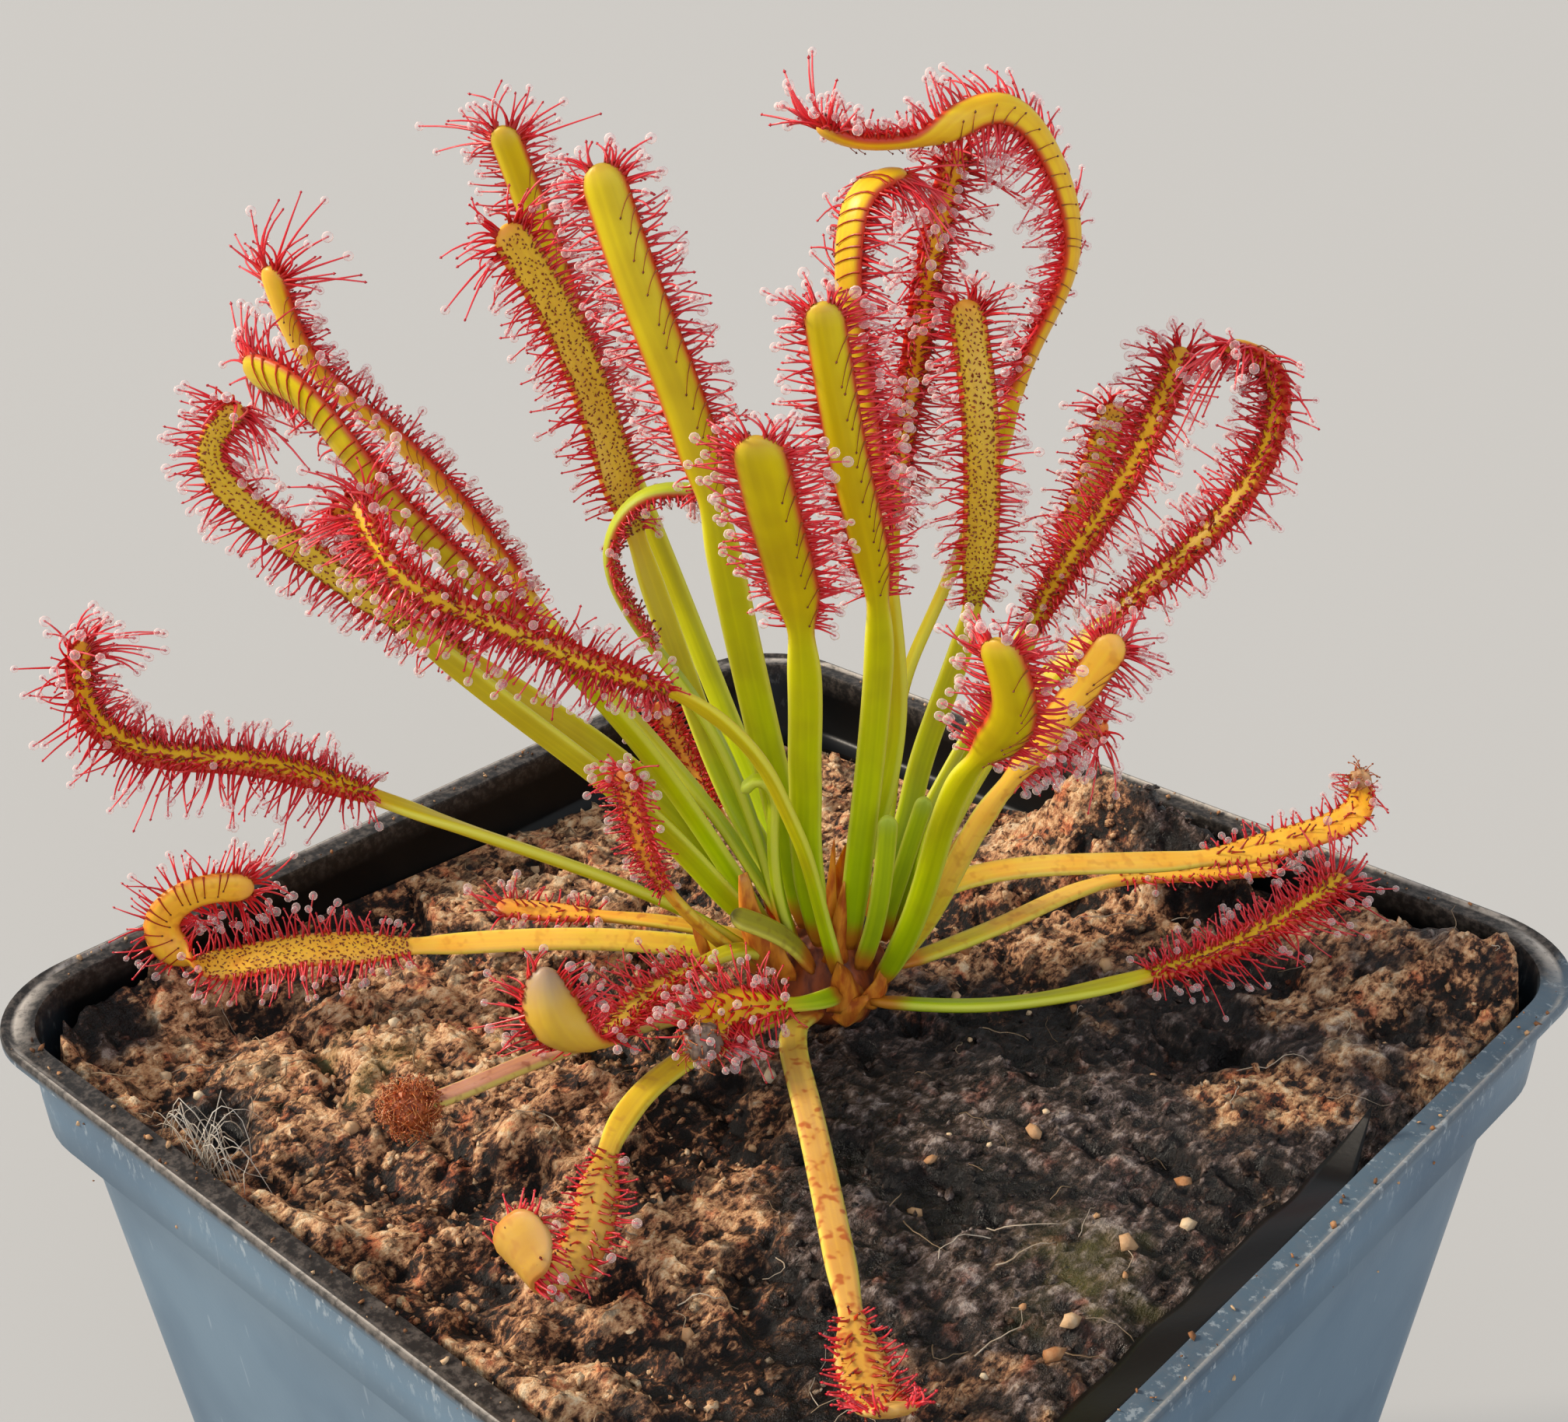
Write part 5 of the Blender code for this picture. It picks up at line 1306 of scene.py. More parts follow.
# The routes' points are right, back and up from the crown, the same as in the part's source
LEAVES = {
    "left_low": Leaf("green", 1.9, 2.6, 27, (0.1, 0.4, 0.9), Look(Tissue.GOLDEN, edge=3.0, fan=4.0, skew=-8,
        fan_drops=0.9, turn=-48, uneven=-0.35), ((-4, -1, 4), (-12, -1, 9), (-27, -3, 17), (-35, -4, 21),
        (-43, -5, 24), (-50, -5, 25), (-53, -5, 28), (-53, -4, 33))),
    "left_hooked": Leaf("yellow", 1.9, 2.8, 30, (0, -0.6, 0.8), Look(Tissue.YELLOW, Face.DOTTED, edge=2.3, fan=3.2,
        drops=0.6, bent_back=0.9, crossing=1.2, slant=0.3, twist=165, twisted=(15.0, 10.0)), ((-5, 1, 3),
        (-19, 2, 4), (-36, 1, 4), (-44, 0, 4), (-50, 0, 3.5), (-52.5, 0.5, 6), (-50, 1, 9), (-45, 2, 9))),
    "left_small": Leaf("orange", 1.3, 2.2, 9, (0, -0.2, 1), Look(Tissue.ORANGE, Face.SPARSE, edge=1.4, fan=3.2,
        drops=0.6), ((-5, 3, 3), (-13, 4.5, 4), (-20, 6.5, 3.5), (-27, 7, 4))),
    "front_dead": Leaf("withered", 1.8, 0, 0, (0, 0, 1), Look(Tissue.WITHERED, Face.BARE), ((-4, -4, 2),
        (-10, -6, 2.5), (-20, -10.5, 2.5), (-28, -17, 3), (-30, -19, 3.5))),
    "front_left": Leaf("yellow", 2.0, 3.0, 21, (0.2, 0, 1), Look(Tissue.TAN, Face.SPARSE, edge=1.3, fan=1.0,
        drops=0.15, broaden=1.45, cup=-0.1, taper=0.36, fan_drops=0.1), ((-3, -5, 2), (-8, -10, 3), (-12, -14, 3),
        (-16, -25, 3), (-17, -34, 3), (-19, -37, 4), (-20.5, -38, 6.5), (-18, -38.5, 9))),
    "front_long": Leaf("peach", 2.1, 3.4, 14, (0, 0.2, 1), Look(Tissue.PEACH, Face.SPARSE, edge=1.1, fan=1.2,
        drops=0.0, fan_drops=0.0, spread=80), ((-1, -5.5, 2), (-2.5, -8, 3), (-2.5, -16, 3.5), (-0.5, -32, 3.5),
        (0.5, -41, 3.5), (1.5, -48, 4.5), (2.5, -52, 8))),
    "right_green": Leaf("green", 1.8, 2.3, 19, (0, 0.3, 1), Look(Tissue.GOLDEN, edge=2.6, fan=3.0, skew=6,
        drops=0.5, fan_drops=0.1, turn=32, uneven=0.25), ((3, -4.5, 2.5), (11, -6, 3), (22, -4, 3.5), (33, 0, 5),
        (41, 4, 8))),
    "right_yellow": Leaf("yellow", 2.1, 2.8, 16, (0, -0.4, 1), Look(Tissue.YELLOW, Face.SPARSE, edge=1.2, fan=1.2,
        drops=0.5), ((4, 2, 4.5), (9, 6, 6), (21, 8, 7), (32, 9, 7), (40, 9.5, 9), (43.5, 10, 11), (43, 10, 13.5))),
    "right_under": Leaf("yellow", 1.8, 2.2, 14, (0, 0, 1), Look(Tissue.YELLOW, Face.SPARSE, edge=1.5, fan=2.0,
        drops=0.25), ((5, 0, 2.5), (15, 6, 3), (24, 12, 3), (31, 13, 3), (38, 13, 3.5))),
    "back_tall": Leaf("green", 2.6, 3.1, 24, (0.1, 1, 0.1), Look(Tissue.LIME, edge=2.6, fan=2.3, skew=-22,
        bent_back=1.5), ((-2, -1, 7), (-3, -1, 13), (-5.5, -2, 27), (-7.5, -4, 39), (-9.5, -5, 49), (-12.5, -5, 58),
        (-15, -4, 66))),
    "front_tall": Leaf("green", 2.4, 3.4, 20, (0.15, 1, 0), Look(Tissue.LIME, edge=2.3, fan=1.6, bent_back=2.4,
        crossing=-0.4, fan_drops=0.3), ((-1, -3, 7), (-2, -5, 16), (-2, -10, 31), (-2.5, -13, 39), (-4, -19, 48),
        (-5, -22, 54))),
    "front_middle": Leaf("green", 2.1, 2.6, 24, (0.1, 1, 0), Look(Tissue.LIME, edge=2.3, fan=1.6, bent_back=1.5,
        fan_drops=0.3), ((1.5, -3, 6.5), (2, -4, 14), (3, -6, 28), (3, -8, 37), (1, -12, 48), (-1, -15, 60))),
    "arched": Leaf("green", 2.0, 2.6, 28, (0.8, 0.6, 0), Look(Tissue.GOLDEN, edge=2.7, spread=84, bent_back=0.95,
        crossing=-1.8, slant=0.9), ((1, 1, 7), (3, 1, 13), (5, 1, 24), (4, 1, 36), (2, -1, 50), (1, -3, 60),
        (2, -2, 64), (4.5, 0, 65))),
    "back_slender": Leaf("green", 1.8, 2.4, 29, (0.9, -0.3, 0), Look(Tissue.GOLDEN, edge=2.5, spread=84, turn=-50),
        ((2, 3.5, 5.5), (4, 6, 12), (5, 9, 25), (5, 10, 38), (6.5, 10, 50), (7.5, 9, 58), (9, 9, 64))),
    "looped": Leaf("green", 1.8, 2.2, 38, (0.9, 0, -0.4), Look(Tissue.GOLDEN, edge=2.6, fan=4.0, spread=84,
        bent_back=1.3, crossing=0.8, slant=0.4, fan_drops=0.8, turn=155, twist=-95, twisted=(11.0, 6.0)),
        ((3.5, 1.5, 6), (5, 4, 13), (6, 7, 24), (8, 8, 29), (12, 9, 40), (14.5, 6, 51), (16.5, 4.5, 57),
        (15, 3, 64), (10.5, 1, 68.5), (7, 0, 67), (2.5, 0, 66), (-1, 0, 67.5))),
    "dotted": Leaf("green", 1.9, 2.7, 23, (0, -1, 0.15), Look(Tissue.OLIVE, Face.DOTTED, edge=2.2, fan=2.6,
        fan_drops=0.3), ((3.5, 0, 5.5), (5, 2.5, 11), (8, 4, 22), (10.5, 4, 31), (11, 4, 40), (10.5, 5, 48),
        (9.5, 7, 54))),
    "right_tall": Leaf("green", 2.0, 2.3, 24, (-0.5, -0.7, 0.4), Look(Tissue.GOLDEN, edge=2.3, fan=2.6),
        ((4.5, 1, 4.5), (6.5, 1.5, 10), (12, 4, 21), (17, 4, 34), (21, 4, 41), (25, 5, 51))),
    "right_curled": Leaf("green", 2.0, 2.2, 26, (-0.5, -0.5, 0.7), Look(Tissue.GOLDEN, edge=2.5, bent_back=1.0,
        crossing=0.8), ((4.5, -1, 4), (7, -1, 11), (13, -2, 25), (20, -3, 34), (26, -3, 40), (30, -3, 48),
        (29, -3, 52.5), (26, -3, 53.5))),
    "right_back": Leaf("green", 1.7, 2.4, 14, (0, -1, 0.2), Look(Tissue.OLIVE, Face.DOTTED, edge=1.9, fan=2.2),
        ((4, 4, 3.5), (7, 8, 9), (15, 13, 23), (19, 14, 33), (22, 14, 44))),
    "near_right": Leaf("green", 1.9, 3.0, 15, (0.2, 1, 0), Look(Tissue.LIME, edge=2.4, fan=2.0, bent_back=1.6),
        ((3.5, -3.5, 3.5), (5, -6, 8), (7, -11, 19), (9, -19, 31), (10.5, -25, 38), (9, -26.5, 43))),
    "middle_right": Leaf("yellow", 1.7, 2.4, 14, (0.6, 0.5, 0.6), Look(Tissue.YELLOW, edge=2.2, fan=2.2,
        bent_back=1.5), ((4.5, -2.5, 4), (7, -4, 9), (11, -8, 21), (14, -10, 27), (19, -11, 36))),
    "orange_right": Leaf("orange", 1.5, 2.4, 10, (-0.3, -0.5, 0.8), Look(Tissue.ORANGE, edge=2.1, drops=0.6),
        ((5, 2.5, 3), (8, 4, 7), (14, 6, 15), (18, 6, 19), (21, 3, 22))),
    "upper_left": Leaf("green", 2.0, 2.3, 32, (0.75, 0, 0.65), Look(Tissue.GOLDEN, edge=1.7, fan=4.4, spread=80,
        fan_drops=0.1, bent_back=1.2, crossing=-0.7, turn=50), ((-4, 3, 5), (-8, 5, 12), (-17, 8, 23), (-25, 9, 34),
        (-32, 8, 44), (-37, 8, 49), (-39, 6, 57))),
    "left_striped": Leaf("green", 2.2, 3.0, 29, (0.3, 0.75, 0.6), Look(Tissue.LIME, edge=2.5, fan=3.4,
        bent_back=1.0, crossing=-1.9, slant=0.7), ((-4.5, 0.5, 5), (-10, 1, 15), (-17, -1, 27), (-23, -3, 35),
        (-32, -4, 46), (-36, -3, 51), (-40, 0, 51.5))),
    "left_dotted": Leaf("green", 2.2, 2.9, 25, (-0.3, -0.95, -0.1), Look(Tissue.OLIVE, Face.DOTTED, edge=2.2,
        fan=2.8, fan_drops=0.3, broaden=0.6), ((-4.5, -1, 4.5), (-14, -1, 17), (-24, -2, 27), (-34, -3, 37),
        (-41, -3, 43.5), (-42, -4.5, 47), (-39, -6.5, 51))),
    "left_red": Leaf("green", 1.2, 2.0, 26, (0, -0.6, -0.8), Look(Tissue.GOLDEN, edge=2.6, turn=46),
        ((0.5, -4.5, 4.5), (-1, -6, 12), (-4, -8, 23), (-10, -10, 31), (-17, -12, 35), (-23, -12, 38),
        (-29, -11.5, 41.5), (-31.5, -8.5, 45))),
    "dotted_tall": Leaf("green", 2.0, 3.0, 25, (0.35, -0.9, 0.1), Look(Tissue.OLIVE, Face.DOTTED, edge=2.7, fan=4.0,
        fan_drops=0.15), ((-2.5, 2, 6.5), (-6, 4, 12), (-11, 6, 25), (-15, 8, 38), (-19, 10, 51), (-23, 9, 59))),
    "back_left": Leaf("green", 2.0, 2.6, 24, (0.2, 1, 0.1), Look(Tissue.LIME, edge=2.7, fan=3.8, bent_back=2.2,
        fan_drops=0.5), ((-1.5, 4, 5.5), (-6, 10, 14), (-13, 16, 31), (-18, 19, 44), (-22, 20, 57), (-24, 19, 64))),
    "young_curled": Leaf("young", 1.8, 1.9, 18, (0.9, 0, 0.3), Look(Tissue.YOUNG, edge=0.8, fan=1.0, drops=0.2),
        ((-3.5, 0, 6), (-5, 1, 12), (-10, 2, 25), (-15, 2, 33), (-16, 2, 37), (-13, 2, 41.5), (-9, 2, 41.5))),
    "crosier": Leaf("young", 1.3, 0, 0, (-1, 0, 0), Look(Tissue.YOUNG, Face.BARE), ((-2.5, -2.5, 6), (-4, -4.5, 14),
        (-4, -5, 20), (-4.5, -5, 22), (-6, -5, 22.5), (-6.5, -5, 21))),
    "bud_front": Leaf("young", 1.5, 0, 0, (0, -1, 0), Look(Tissue.YOUNG, Face.BARE), ((2.5, -4, 5), (3.5, -6, 12),
        (4, -7, 20))),
    "bud_right": Leaf("young", 1.4, 0, 0, (0, -1, 0), Look(Tissue.YOUNG, Face.BARE), ((4, -0.5, 5), (5.5, -2, 13),
        (7, -2.5, 19))),
    "front_cupped": Leaf("yellow", 1.9, 3.2, 19, (0, 0, 1), Look(Tissue.CUPPED, edge=2.8, fan=2.0, drops=0.45,
        broaden=1.5, twist=66, cup=0.25, taper=1.15, fan_drops=0.2, uneven=0.3), ((-4, -3, 4), (-6.5, -4, 7),
        (-11, -7.5, 7), (-15, -11, 6), (-17.5, -14.5, 5.5), (-20, -15, 8), (-20.5, -14, 12))),
    "front_folded": Leaf("yellow", 1.5, 3.2, 9, (0, -0.6, 0.8), Look(Tissue.GOLDEN, Face.LOOSE, edge=3.0, fan=2.6,
        drops=0.6), ((0.5, -5, 3.5), (-1, -9, 5.5), (-4, -11, 6.5), (-8, -12, 7), (-9.5, -15.5, 6.5))),
    "small_red": Leaf("orange", 1.1, 2.2, 11, (-0.5, -0.8, 0.3), Look(Tissue.ORANGE, edge=1.2, fan=1.5, drops=0.3),
        ((-5, -2, 3.5), (-9, -4, 8), (-13, -5, 14), (-15, -5, 23))),
    "back_orange": Leaf("orange", 1.2, 2.4, 11, (-0.3, -0.8, 0.5), Look(Tissue.ORANGE, edge=1.8, fan=2.0,
        drops=0.4), ((-3, 4.5, 3), (-6, 9, 6), (-10, 15, 10), (-14, 18, 17))),
    "cut_stub": Leaf("pale", 1.9, 0, 0, (0, -0.5, 1), Look(Tissue.KHAKI, Face.BARE), ((-1.5, -4.5, 5.5),
        (-3, -5.5, 8.5), (-7.5, -6.5, 11.5))),
    "left_hidden": Leaf("pale", 2.1, 2.4, 17, (0, -0.8, 0.6), Look(Tissue.GOLDEN, edge=2.3), ((-4.5, 2, 4),
        (-8, 4, 9), (-20, 4, 22), (-29, 3, 30), (-33.5, 2, 37), (-34.5, 0, 42))),
}


def resample(path: Array, count: int) -> Array:
    """A polyline read at places even in length.

    Args:
        path: its points.
        count: how many places.

    Returns:
        The points there.
    """
    run = np.concatenate([[0], np.cumsum(np.linalg.norm(np.diff(path, axis=0), axis=1))])
    places = np.linspace(0, run[-1], count)
    return np.stack([np.interp(places, run, path[:, k]) for k in range(3)], -1)


def length_of(path: Array) -> float:
    """Length of a polyline."""
    return float(np.linalg.norm(np.diff(path, axis=0), axis=1).sum())


def frames(path: Array, face: Sequence, share: float) -> tuple[Array, Array, Array]:
    """Tangent, side and face directions along a path.

    The face is set at the blade's foot and carried both ways with no twist: at each step
    the part along the new tangent is taken off.

    Args:
        path: the points.
        face: which way the face looks at the blade's foot.
        share: where that is, as a share of the path.

    Returns:
        The three directions at each point.
    """
    tangent = unit(np.gradient(path, axis=0))
    start = int(round(share * (len(path) - 1)))
    faces = np.zeros_like(path)
    faces[start] = unit(np.asarray(face, float) - tangent[start] * np.dot(face, tangent[start]))
    for i in range(start + 1, len(path)):
        faces[i] = unit(faces[i - 1] - tangent[i] * faces[i - 1].dot(tangent[i]))
    for i in range(start - 1, -1, -1):
        faces[i] = unit(faces[i + 1] - tangent[i] * faces[i + 1].dot(tangent[i]))
    return tangent, np.cross(tangent, faces), faces


def neighbours(path: Array, owner: Array, reach: float) -> tuple[Array, Array]:
    """Number pairs of stations on different leaves that lie within reach of each other.

    Args:
        path: every station.
        owner: the number of each one's leaf.
        reach: how near in mm.

    Returns:
        The first and the second of each pair.
    """
    first, second = [], []
    for i in range(len(path)):
        near = np.nonzero(np.linalg.norm(path[i + 1:] - path[i], axis=1) < reach)[0] + i + 1
        near = near[owner[near] != owner[i]]
        first.append(np.full(len(near), i))
        second.append(near)
    return np.concatenate(first), np.concatenate(second)


def support(offset: Array, side: Array, face: Array, half_width: Array, half_thick: Array) -> Array:
    """How far an elliptical section reaches towards an offset, from its half sizes along its own two axes."""
    along = unit(offset)
    return np.hypot(half_width * np.sum(along * side, -1), half_thick * np.sum(along * face, -1))


@dataclass
class Rosette:
    """The leaves' routes, worked out as in the part's source, so that they lie where the solids do."""

    crown_radius: float = 5.4
    crown_height: float = 7.0
    petiole_thick: float = 1.0
    blade_thick: float = 0.9
    base_width: float = 1.5
    tip_share: float = 0.45
    step: float = 0.8
    rounds: int = 60
    gap: float = 0.5
    peat: Peat = field(default_factory=Peat)

    def spline(self, points: Sequence) -> Array:
        """A natural cubic spline through points by chord length, read at even steps.

        Args:
            points: what it passes through.

        Returns:
            The points read.
        """
        points = np.asarray(points, float)
        chord = np.concatenate([[0], np.cumsum(np.linalg.norm(np.diff(points, axis=0), axis=1))])
        span = np.diff(chord)
        count = len(points)
        system, right = np.eye(count), np.zeros_like(points)
        for i in range(1, count - 1):
            system[i, i - 1:i + 2] = span[i - 1], 2 * (span[i - 1] + span[i]), span[i]
            right[i] = 6 * ((points[i + 1] - points[i]) / span[i] - (points[i] - points[i - 1]) / span[i - 1])
        bend = np.linalg.solve(system, right)
        where = np.linspace(0, chord[-1], 40 * count)
        k = np.clip(np.searchsorted(chord, where, side="right") - 1, 0, count - 2)
        before, after, width = (where - chord[k])[:, None], (chord[k + 1] - where)[:, None], span[k][:, None]
        cubic = (bend[k] * after ** 3 + bend[k + 1] * before ** 3) / (6 * width)
        line = (points[k] / width - bend[k] * width / 6) * after
        fine = cubic + line + (points[k + 1] / width - bend[k + 1] * width / 6) * before
        return resample(fine, max(3, round(length_of(fine) / self.step) + 1))

    def widths(self, leaf: Leaf, length: float, along: Array) -> tuple[Array, Array]:
        """Width and thickness at distances along a leaf: foot, petiole, neck, blade and rounded tip.

        Args:
            leaf: its row.
            length: its whole length.
            along: distances from its foot.

        Returns:
            Both in mm.
        """
        width = self.base_width + (leaf.petiole - self.base_width) * np.clip(along / 6, 0, 1)
        thick = np.full_like(along, self.petiole_thick)
        from_tip = length - along
        if leaf.blade:
            opened = np.clip((leaf.blade_length - from_tip) / 4, 0, 1)
            neck = 1 - 0.25 * np.exp(-((from_tip - leaf.blade_length) / 2.5) ** 2)
            width = (width + (leaf.blade - width) * opened) * neck
            thick = thick + (self.blade_thick - self.petiole_thick) * opened
        closing = np.clip(from_tip / (leaf.blade * 0.6 if leaf.blade else 1.0), 0, 1)
        rounding = self.tip_share + (1 - self.tip_share) * np.sqrt(1 - (1 - closing) ** 2)
        starting = 0.7 + 0.3 * np.clip(along / 1.2, 0, 1)
        return width * rounding * starting, thick * (0.6 + 0.4 * rounding) * starting

    def settle(self) -> dict[str, Array]:
        """The routes after the petioles have pressed each other apart.

        Each round moves stations of two leaves that are too close along the line between them,
        smooths the moves along each leaf, and keeps feet on the crown and leaves over the peat.

        Returns:
            Each leaf's points, by its name.
        """
        paths = {name: self.spline(leaf.route) for name, leaf in LEAVES.items()}
        sizes = [len(path) for path in paths.values()]
        runs = [slice(end - size, end) for end, size in zip(np.cumsum(sizes), sizes)]
        owner = np.repeat(np.arange(len(paths)), sizes)
        path = np.concatenate(list(paths.values()))
        pairs = None
        for turn in range(self.rounds):
            side, face = np.zeros_like(path), np.zeros_like(path)
            half_width, half_thick = np.zeros(len(path)), np.zeros(len(path))
            for leaf, run in zip(LEAVES.values(), runs):
                own = path[run]
                length = length_of(own)
                _, side[run], face[run] = frames(own, leaf.face, 1 - leaf.blade_length / length)
                width, thick = self.widths(leaf, length, np.linspace(0, length, len(own)))
                half_width[run], half_thick[run] = width / 2, BACK_SHARE * thick
            if turn % 10 == 0:
                pairs = neighbours(path, owner, 5.5)
            first, second = pairs
            offset = path[first] - path[second]
            room = (support(offset, side[first], face[first], half_width[first], half_thick[first])
                    + support(offset, side[second], face[second], half_width[second], half_thick[second]))
            lack = np.maximum(room + self.gap - np.linalg.norm(offset, axis=1), 0)
            push = unit(offset) * (0.5 * lack)[:, None]
            move, weight = np.zeros_like(path), np.zeros(len(path))
            for ends_at, sign in ((first, 1), (second, -1)):
                np.add.at(move, ends_at, sign * push * lack[:, None])
                np.add.at(weight, ends_at, lack)
            move /= np.maximum(weight, 1e-6)[:, None]
            for run in runs:
                own = move[run]
                for _ in range(6):
                    padded = np.concatenate([own[:1], own, own[-1:]])
                    own = 0.25 * padded[:-2] + 0.5 * padded[1:-1] + 0.25 * padded[2:]
                path[run] += 1.3 * own
                path[run] = self.keep_on_crown(path[run])
            path = self.keep_over_peat(path, half_thick)
        return {name: path[run] for name, run in zip(paths, runs)}

    def keep_on_crown(self, path: Array) -> Array:
        """A path whose first point lies just outside the crown's dome and whose rest stays out of it.

        Args:
            path: a leaf's points.

        Returns:
            The points moved.
        """
        low = path.copy()
        radii = np.array([self.crown_radius, self.crown_radius, self.crown_height])
        foot = low[0] / (radii + 0.55)
        foot[2] = max(foot[2], 0.25)
        shift = unit(foot[None])[0] * (radii + 0.55) - low[0]
        low += np.exp(-np.arange(len(low)) * self.step / 4.0)[:, None] * shift
        scaled = np.linalg.norm(low / (radii + 0.95), axis=1)
        inside = (scaled < 1) & (np.arange(len(low)) > 2)
        low[inside] /= scaled[inside, None]
        return low

    def keep_over_peat(self, path: Array, half_thick: Array) -> Array:
        """Points lifted where they would sink into the peat.

        Args:
            path: every leaf's points.
            half_thick: half the thickness there.

        Returns:
            The points moved.
        """
        floor = self.peat.broad_height(to_world(path)[..., :2]) + half_thick + 0.5
        raised = path.copy()
        raised[:, 2] = np.maximum(raised[:, 2], floor)
        return raised


@dataclass
class Track:
    """A leaf's midrib with its directions and sizes, read at any distance from its foot.

    Args:
        leaf: the leaf's row.
        path: its settled route.
        rosette: what gives the widths.
    """

    leaf: Leaf
    path: Array
    rosette: Rosette

    def __post_init__(self) -> None:
        """Smooth the route a little and work out its directions at fine places."""
        self.look = self.leaf.look
        path = self.path.copy()
        for _ in range(3):
            path[1:-1] = 0.25 * path[:-2] + 0.5 * path[1:-1] + 0.25 * path[2:]
        self.length = length_of(path)
        self.places = np.linspace(0, self.length, max(12, int(self.length / 0.5)))
        self.points = resample(path, len(self.places))
        share = 1 - self.leaf.blade_length / self.length
        self.tangent, side, face = frames(self.points, self.leaf.face, share)
        start = self.length - self.leaf.blade_length
        turn = self.look.turn * smoothstep(start - 9, start + 3, self.places)
        first, last = self.look.twisted
        turn = turn + self.look.twist * smoothstep(self.length - first, self.length - last, self.places)
        c, s = heading(np.radians(turn)).T[..., None]
        self.face, self.side = c * face + s * side, c * side - s * face
        self.tip_run = self.look.taper * (self.leaf.blade * self.look.broaden or self.leaf.petiole)

    def at(self, distance: Array) -> tuple[Array, Array, Array, Array]:
        """Where the leaf is and how it lies.

        Args:
            distance: distances from its foot.

        Returns:
            The point, tangent, side and face directions there.
        """
        flat = np.clip(np.ravel(distance), 0, self.length)
        read = [np.stack([np.interp(flat, self.places, part[:, k]) for k in range(3)], -1)
                for part in (self.points, self.tangent, self.side, self.face)]
        shape = (*np.shape(distance), 3)
        return (read[0].reshape(shape), *(unit(part).reshape(shape) for part in read[1:]))

    def end(self, distance: Array) -> Array:
        """0 up to 9 mm from the tip and 1 in the last 4 mm."""
        return smoothstep(self.length - 9, self.length - 4, distance)

    def sizes(self, distance: Array) -> tuple[Array, Array]:
        """Width and thickness at distances from the foot.

        They are the solid's up to its tip, where they follow a half circle: its ordinate at s
        from the end is the square root of 1 - (1 - s / run)^2.

        Args:
            distance: distances from the foot.

        Returns:
            Both in mm.
        """
        flat = np.ravel(distance)
        closing = np.clip((self.length - flat) / self.tip_run, 0, 1)
        before = self.length - max(0.62 * self.leaf.blade, 1.05)
        width, thick = self.rosette.widths(self.leaf, self.length, np.minimum(flat, before))
        width = width * (1 + (self.look.broaden - 1) * self.end(flat))
        rounding = np.sqrt(1 - (1 - closing) ** 2)
        return (width * rounding).reshape(np.shape(distance)), (thick * rounding ** 0.6).reshape(np.shape(distance))

    def hollow(self, distance: Array, across: Array) -> Array:
        """How far a cupped end's margins are raised towards its face: cup * width * across^2."""
        return self.look.cup * self.end(distance) * self.sizes(distance)[0] * (across ** 2 - 0.4)

    def opened(self, distance: Array) -> Array:
        """0 on the petiole and 1 on the blade."""
        start = self.length - self.leaf.blade_length
        return smoothstep(-2.0, 4.0, distance - start) if self.leaf.blade else np.zeros_like(distance)


@dataclass
class Fringe:
    """Many tentacles at once: their centre lines, sizes and tones.

    Args:
        lines: tentacles by places by 3.
        guide: a direction for each that it isn't parallel to.
        thick: each stalk's radius in mm.
        drop: each drop's radius in mm, 0 for none.
        tone: each one's own number from 0 to 1.
        head: each gland's radius in mm.
    """

    lines: Array
    guide: Array
    thick: float
    drop: Array
    tone: Array
    head: float

    def stalks(self, sides: int) -> Surface:
        """Tubes that flare at the root and thin upwards.

        Args:
            sides: sides of each tube.

        Returns:
            The tubes.
        """
        share = np.linspace(0, 1, self.lines.shape[1])
        radii = np.tile(self.thick * (1.1 - 0.5 * share + 0.8 * np.exp(-share / 0.08)), (len(self.lines), 1))
        marks = {"height": np.repeat(share[None], len(self.lines), 0),
                 "tone": np.repeat(self.tone[:, None], len(share), 1)}
        return tubes(self.lines, radii, sides, self.guide, marks)

    def tips(self) -> tuple[Array, Array]:
        """The ends of the stalks, and three axes there with the stalk's direction last.

        Returns:
            The places and the axes.
        """
        along = unit(self.lines[:, -1] - self.lines[:, -2])
        first = unit(np.cross(along, self.guide))
        return self.lines[:, -1], np.stack([first, np.cross(along, first), along], 1)

    def glands(self, shape: Surface) -> Surface:
        """Oval heads, 1.5 times as long as wide.

        Args:
            shape: a unit ball.

        Returns:
            All the heads.
        """
        places, axes = self.tips()
        return copies(shape, places + axes[:, 2] * self.head * 0.6, axes * (self.head * np.array([1, 1, 1.5])[:, None]),
                      {"tone": self.tone, "height": np.ones(len(places))})

    def drops(self, shape: Surface) -> Surface:
        """Round drops, each about its gland.

        Args:
            shape: a unit ball.

        Returns:
            All the drops.
        """
        places, axes = self.tips()
        keep = self.drop > 0
        size = self.drop[keep, None, None] * np.array([1, 1, 1.06])[:, None]
        return copies(shape, (places + axes[:, 2] * self.head * 0.6)[keep], axes[keep] * size,
                      {"tone": self.tone[keep]})


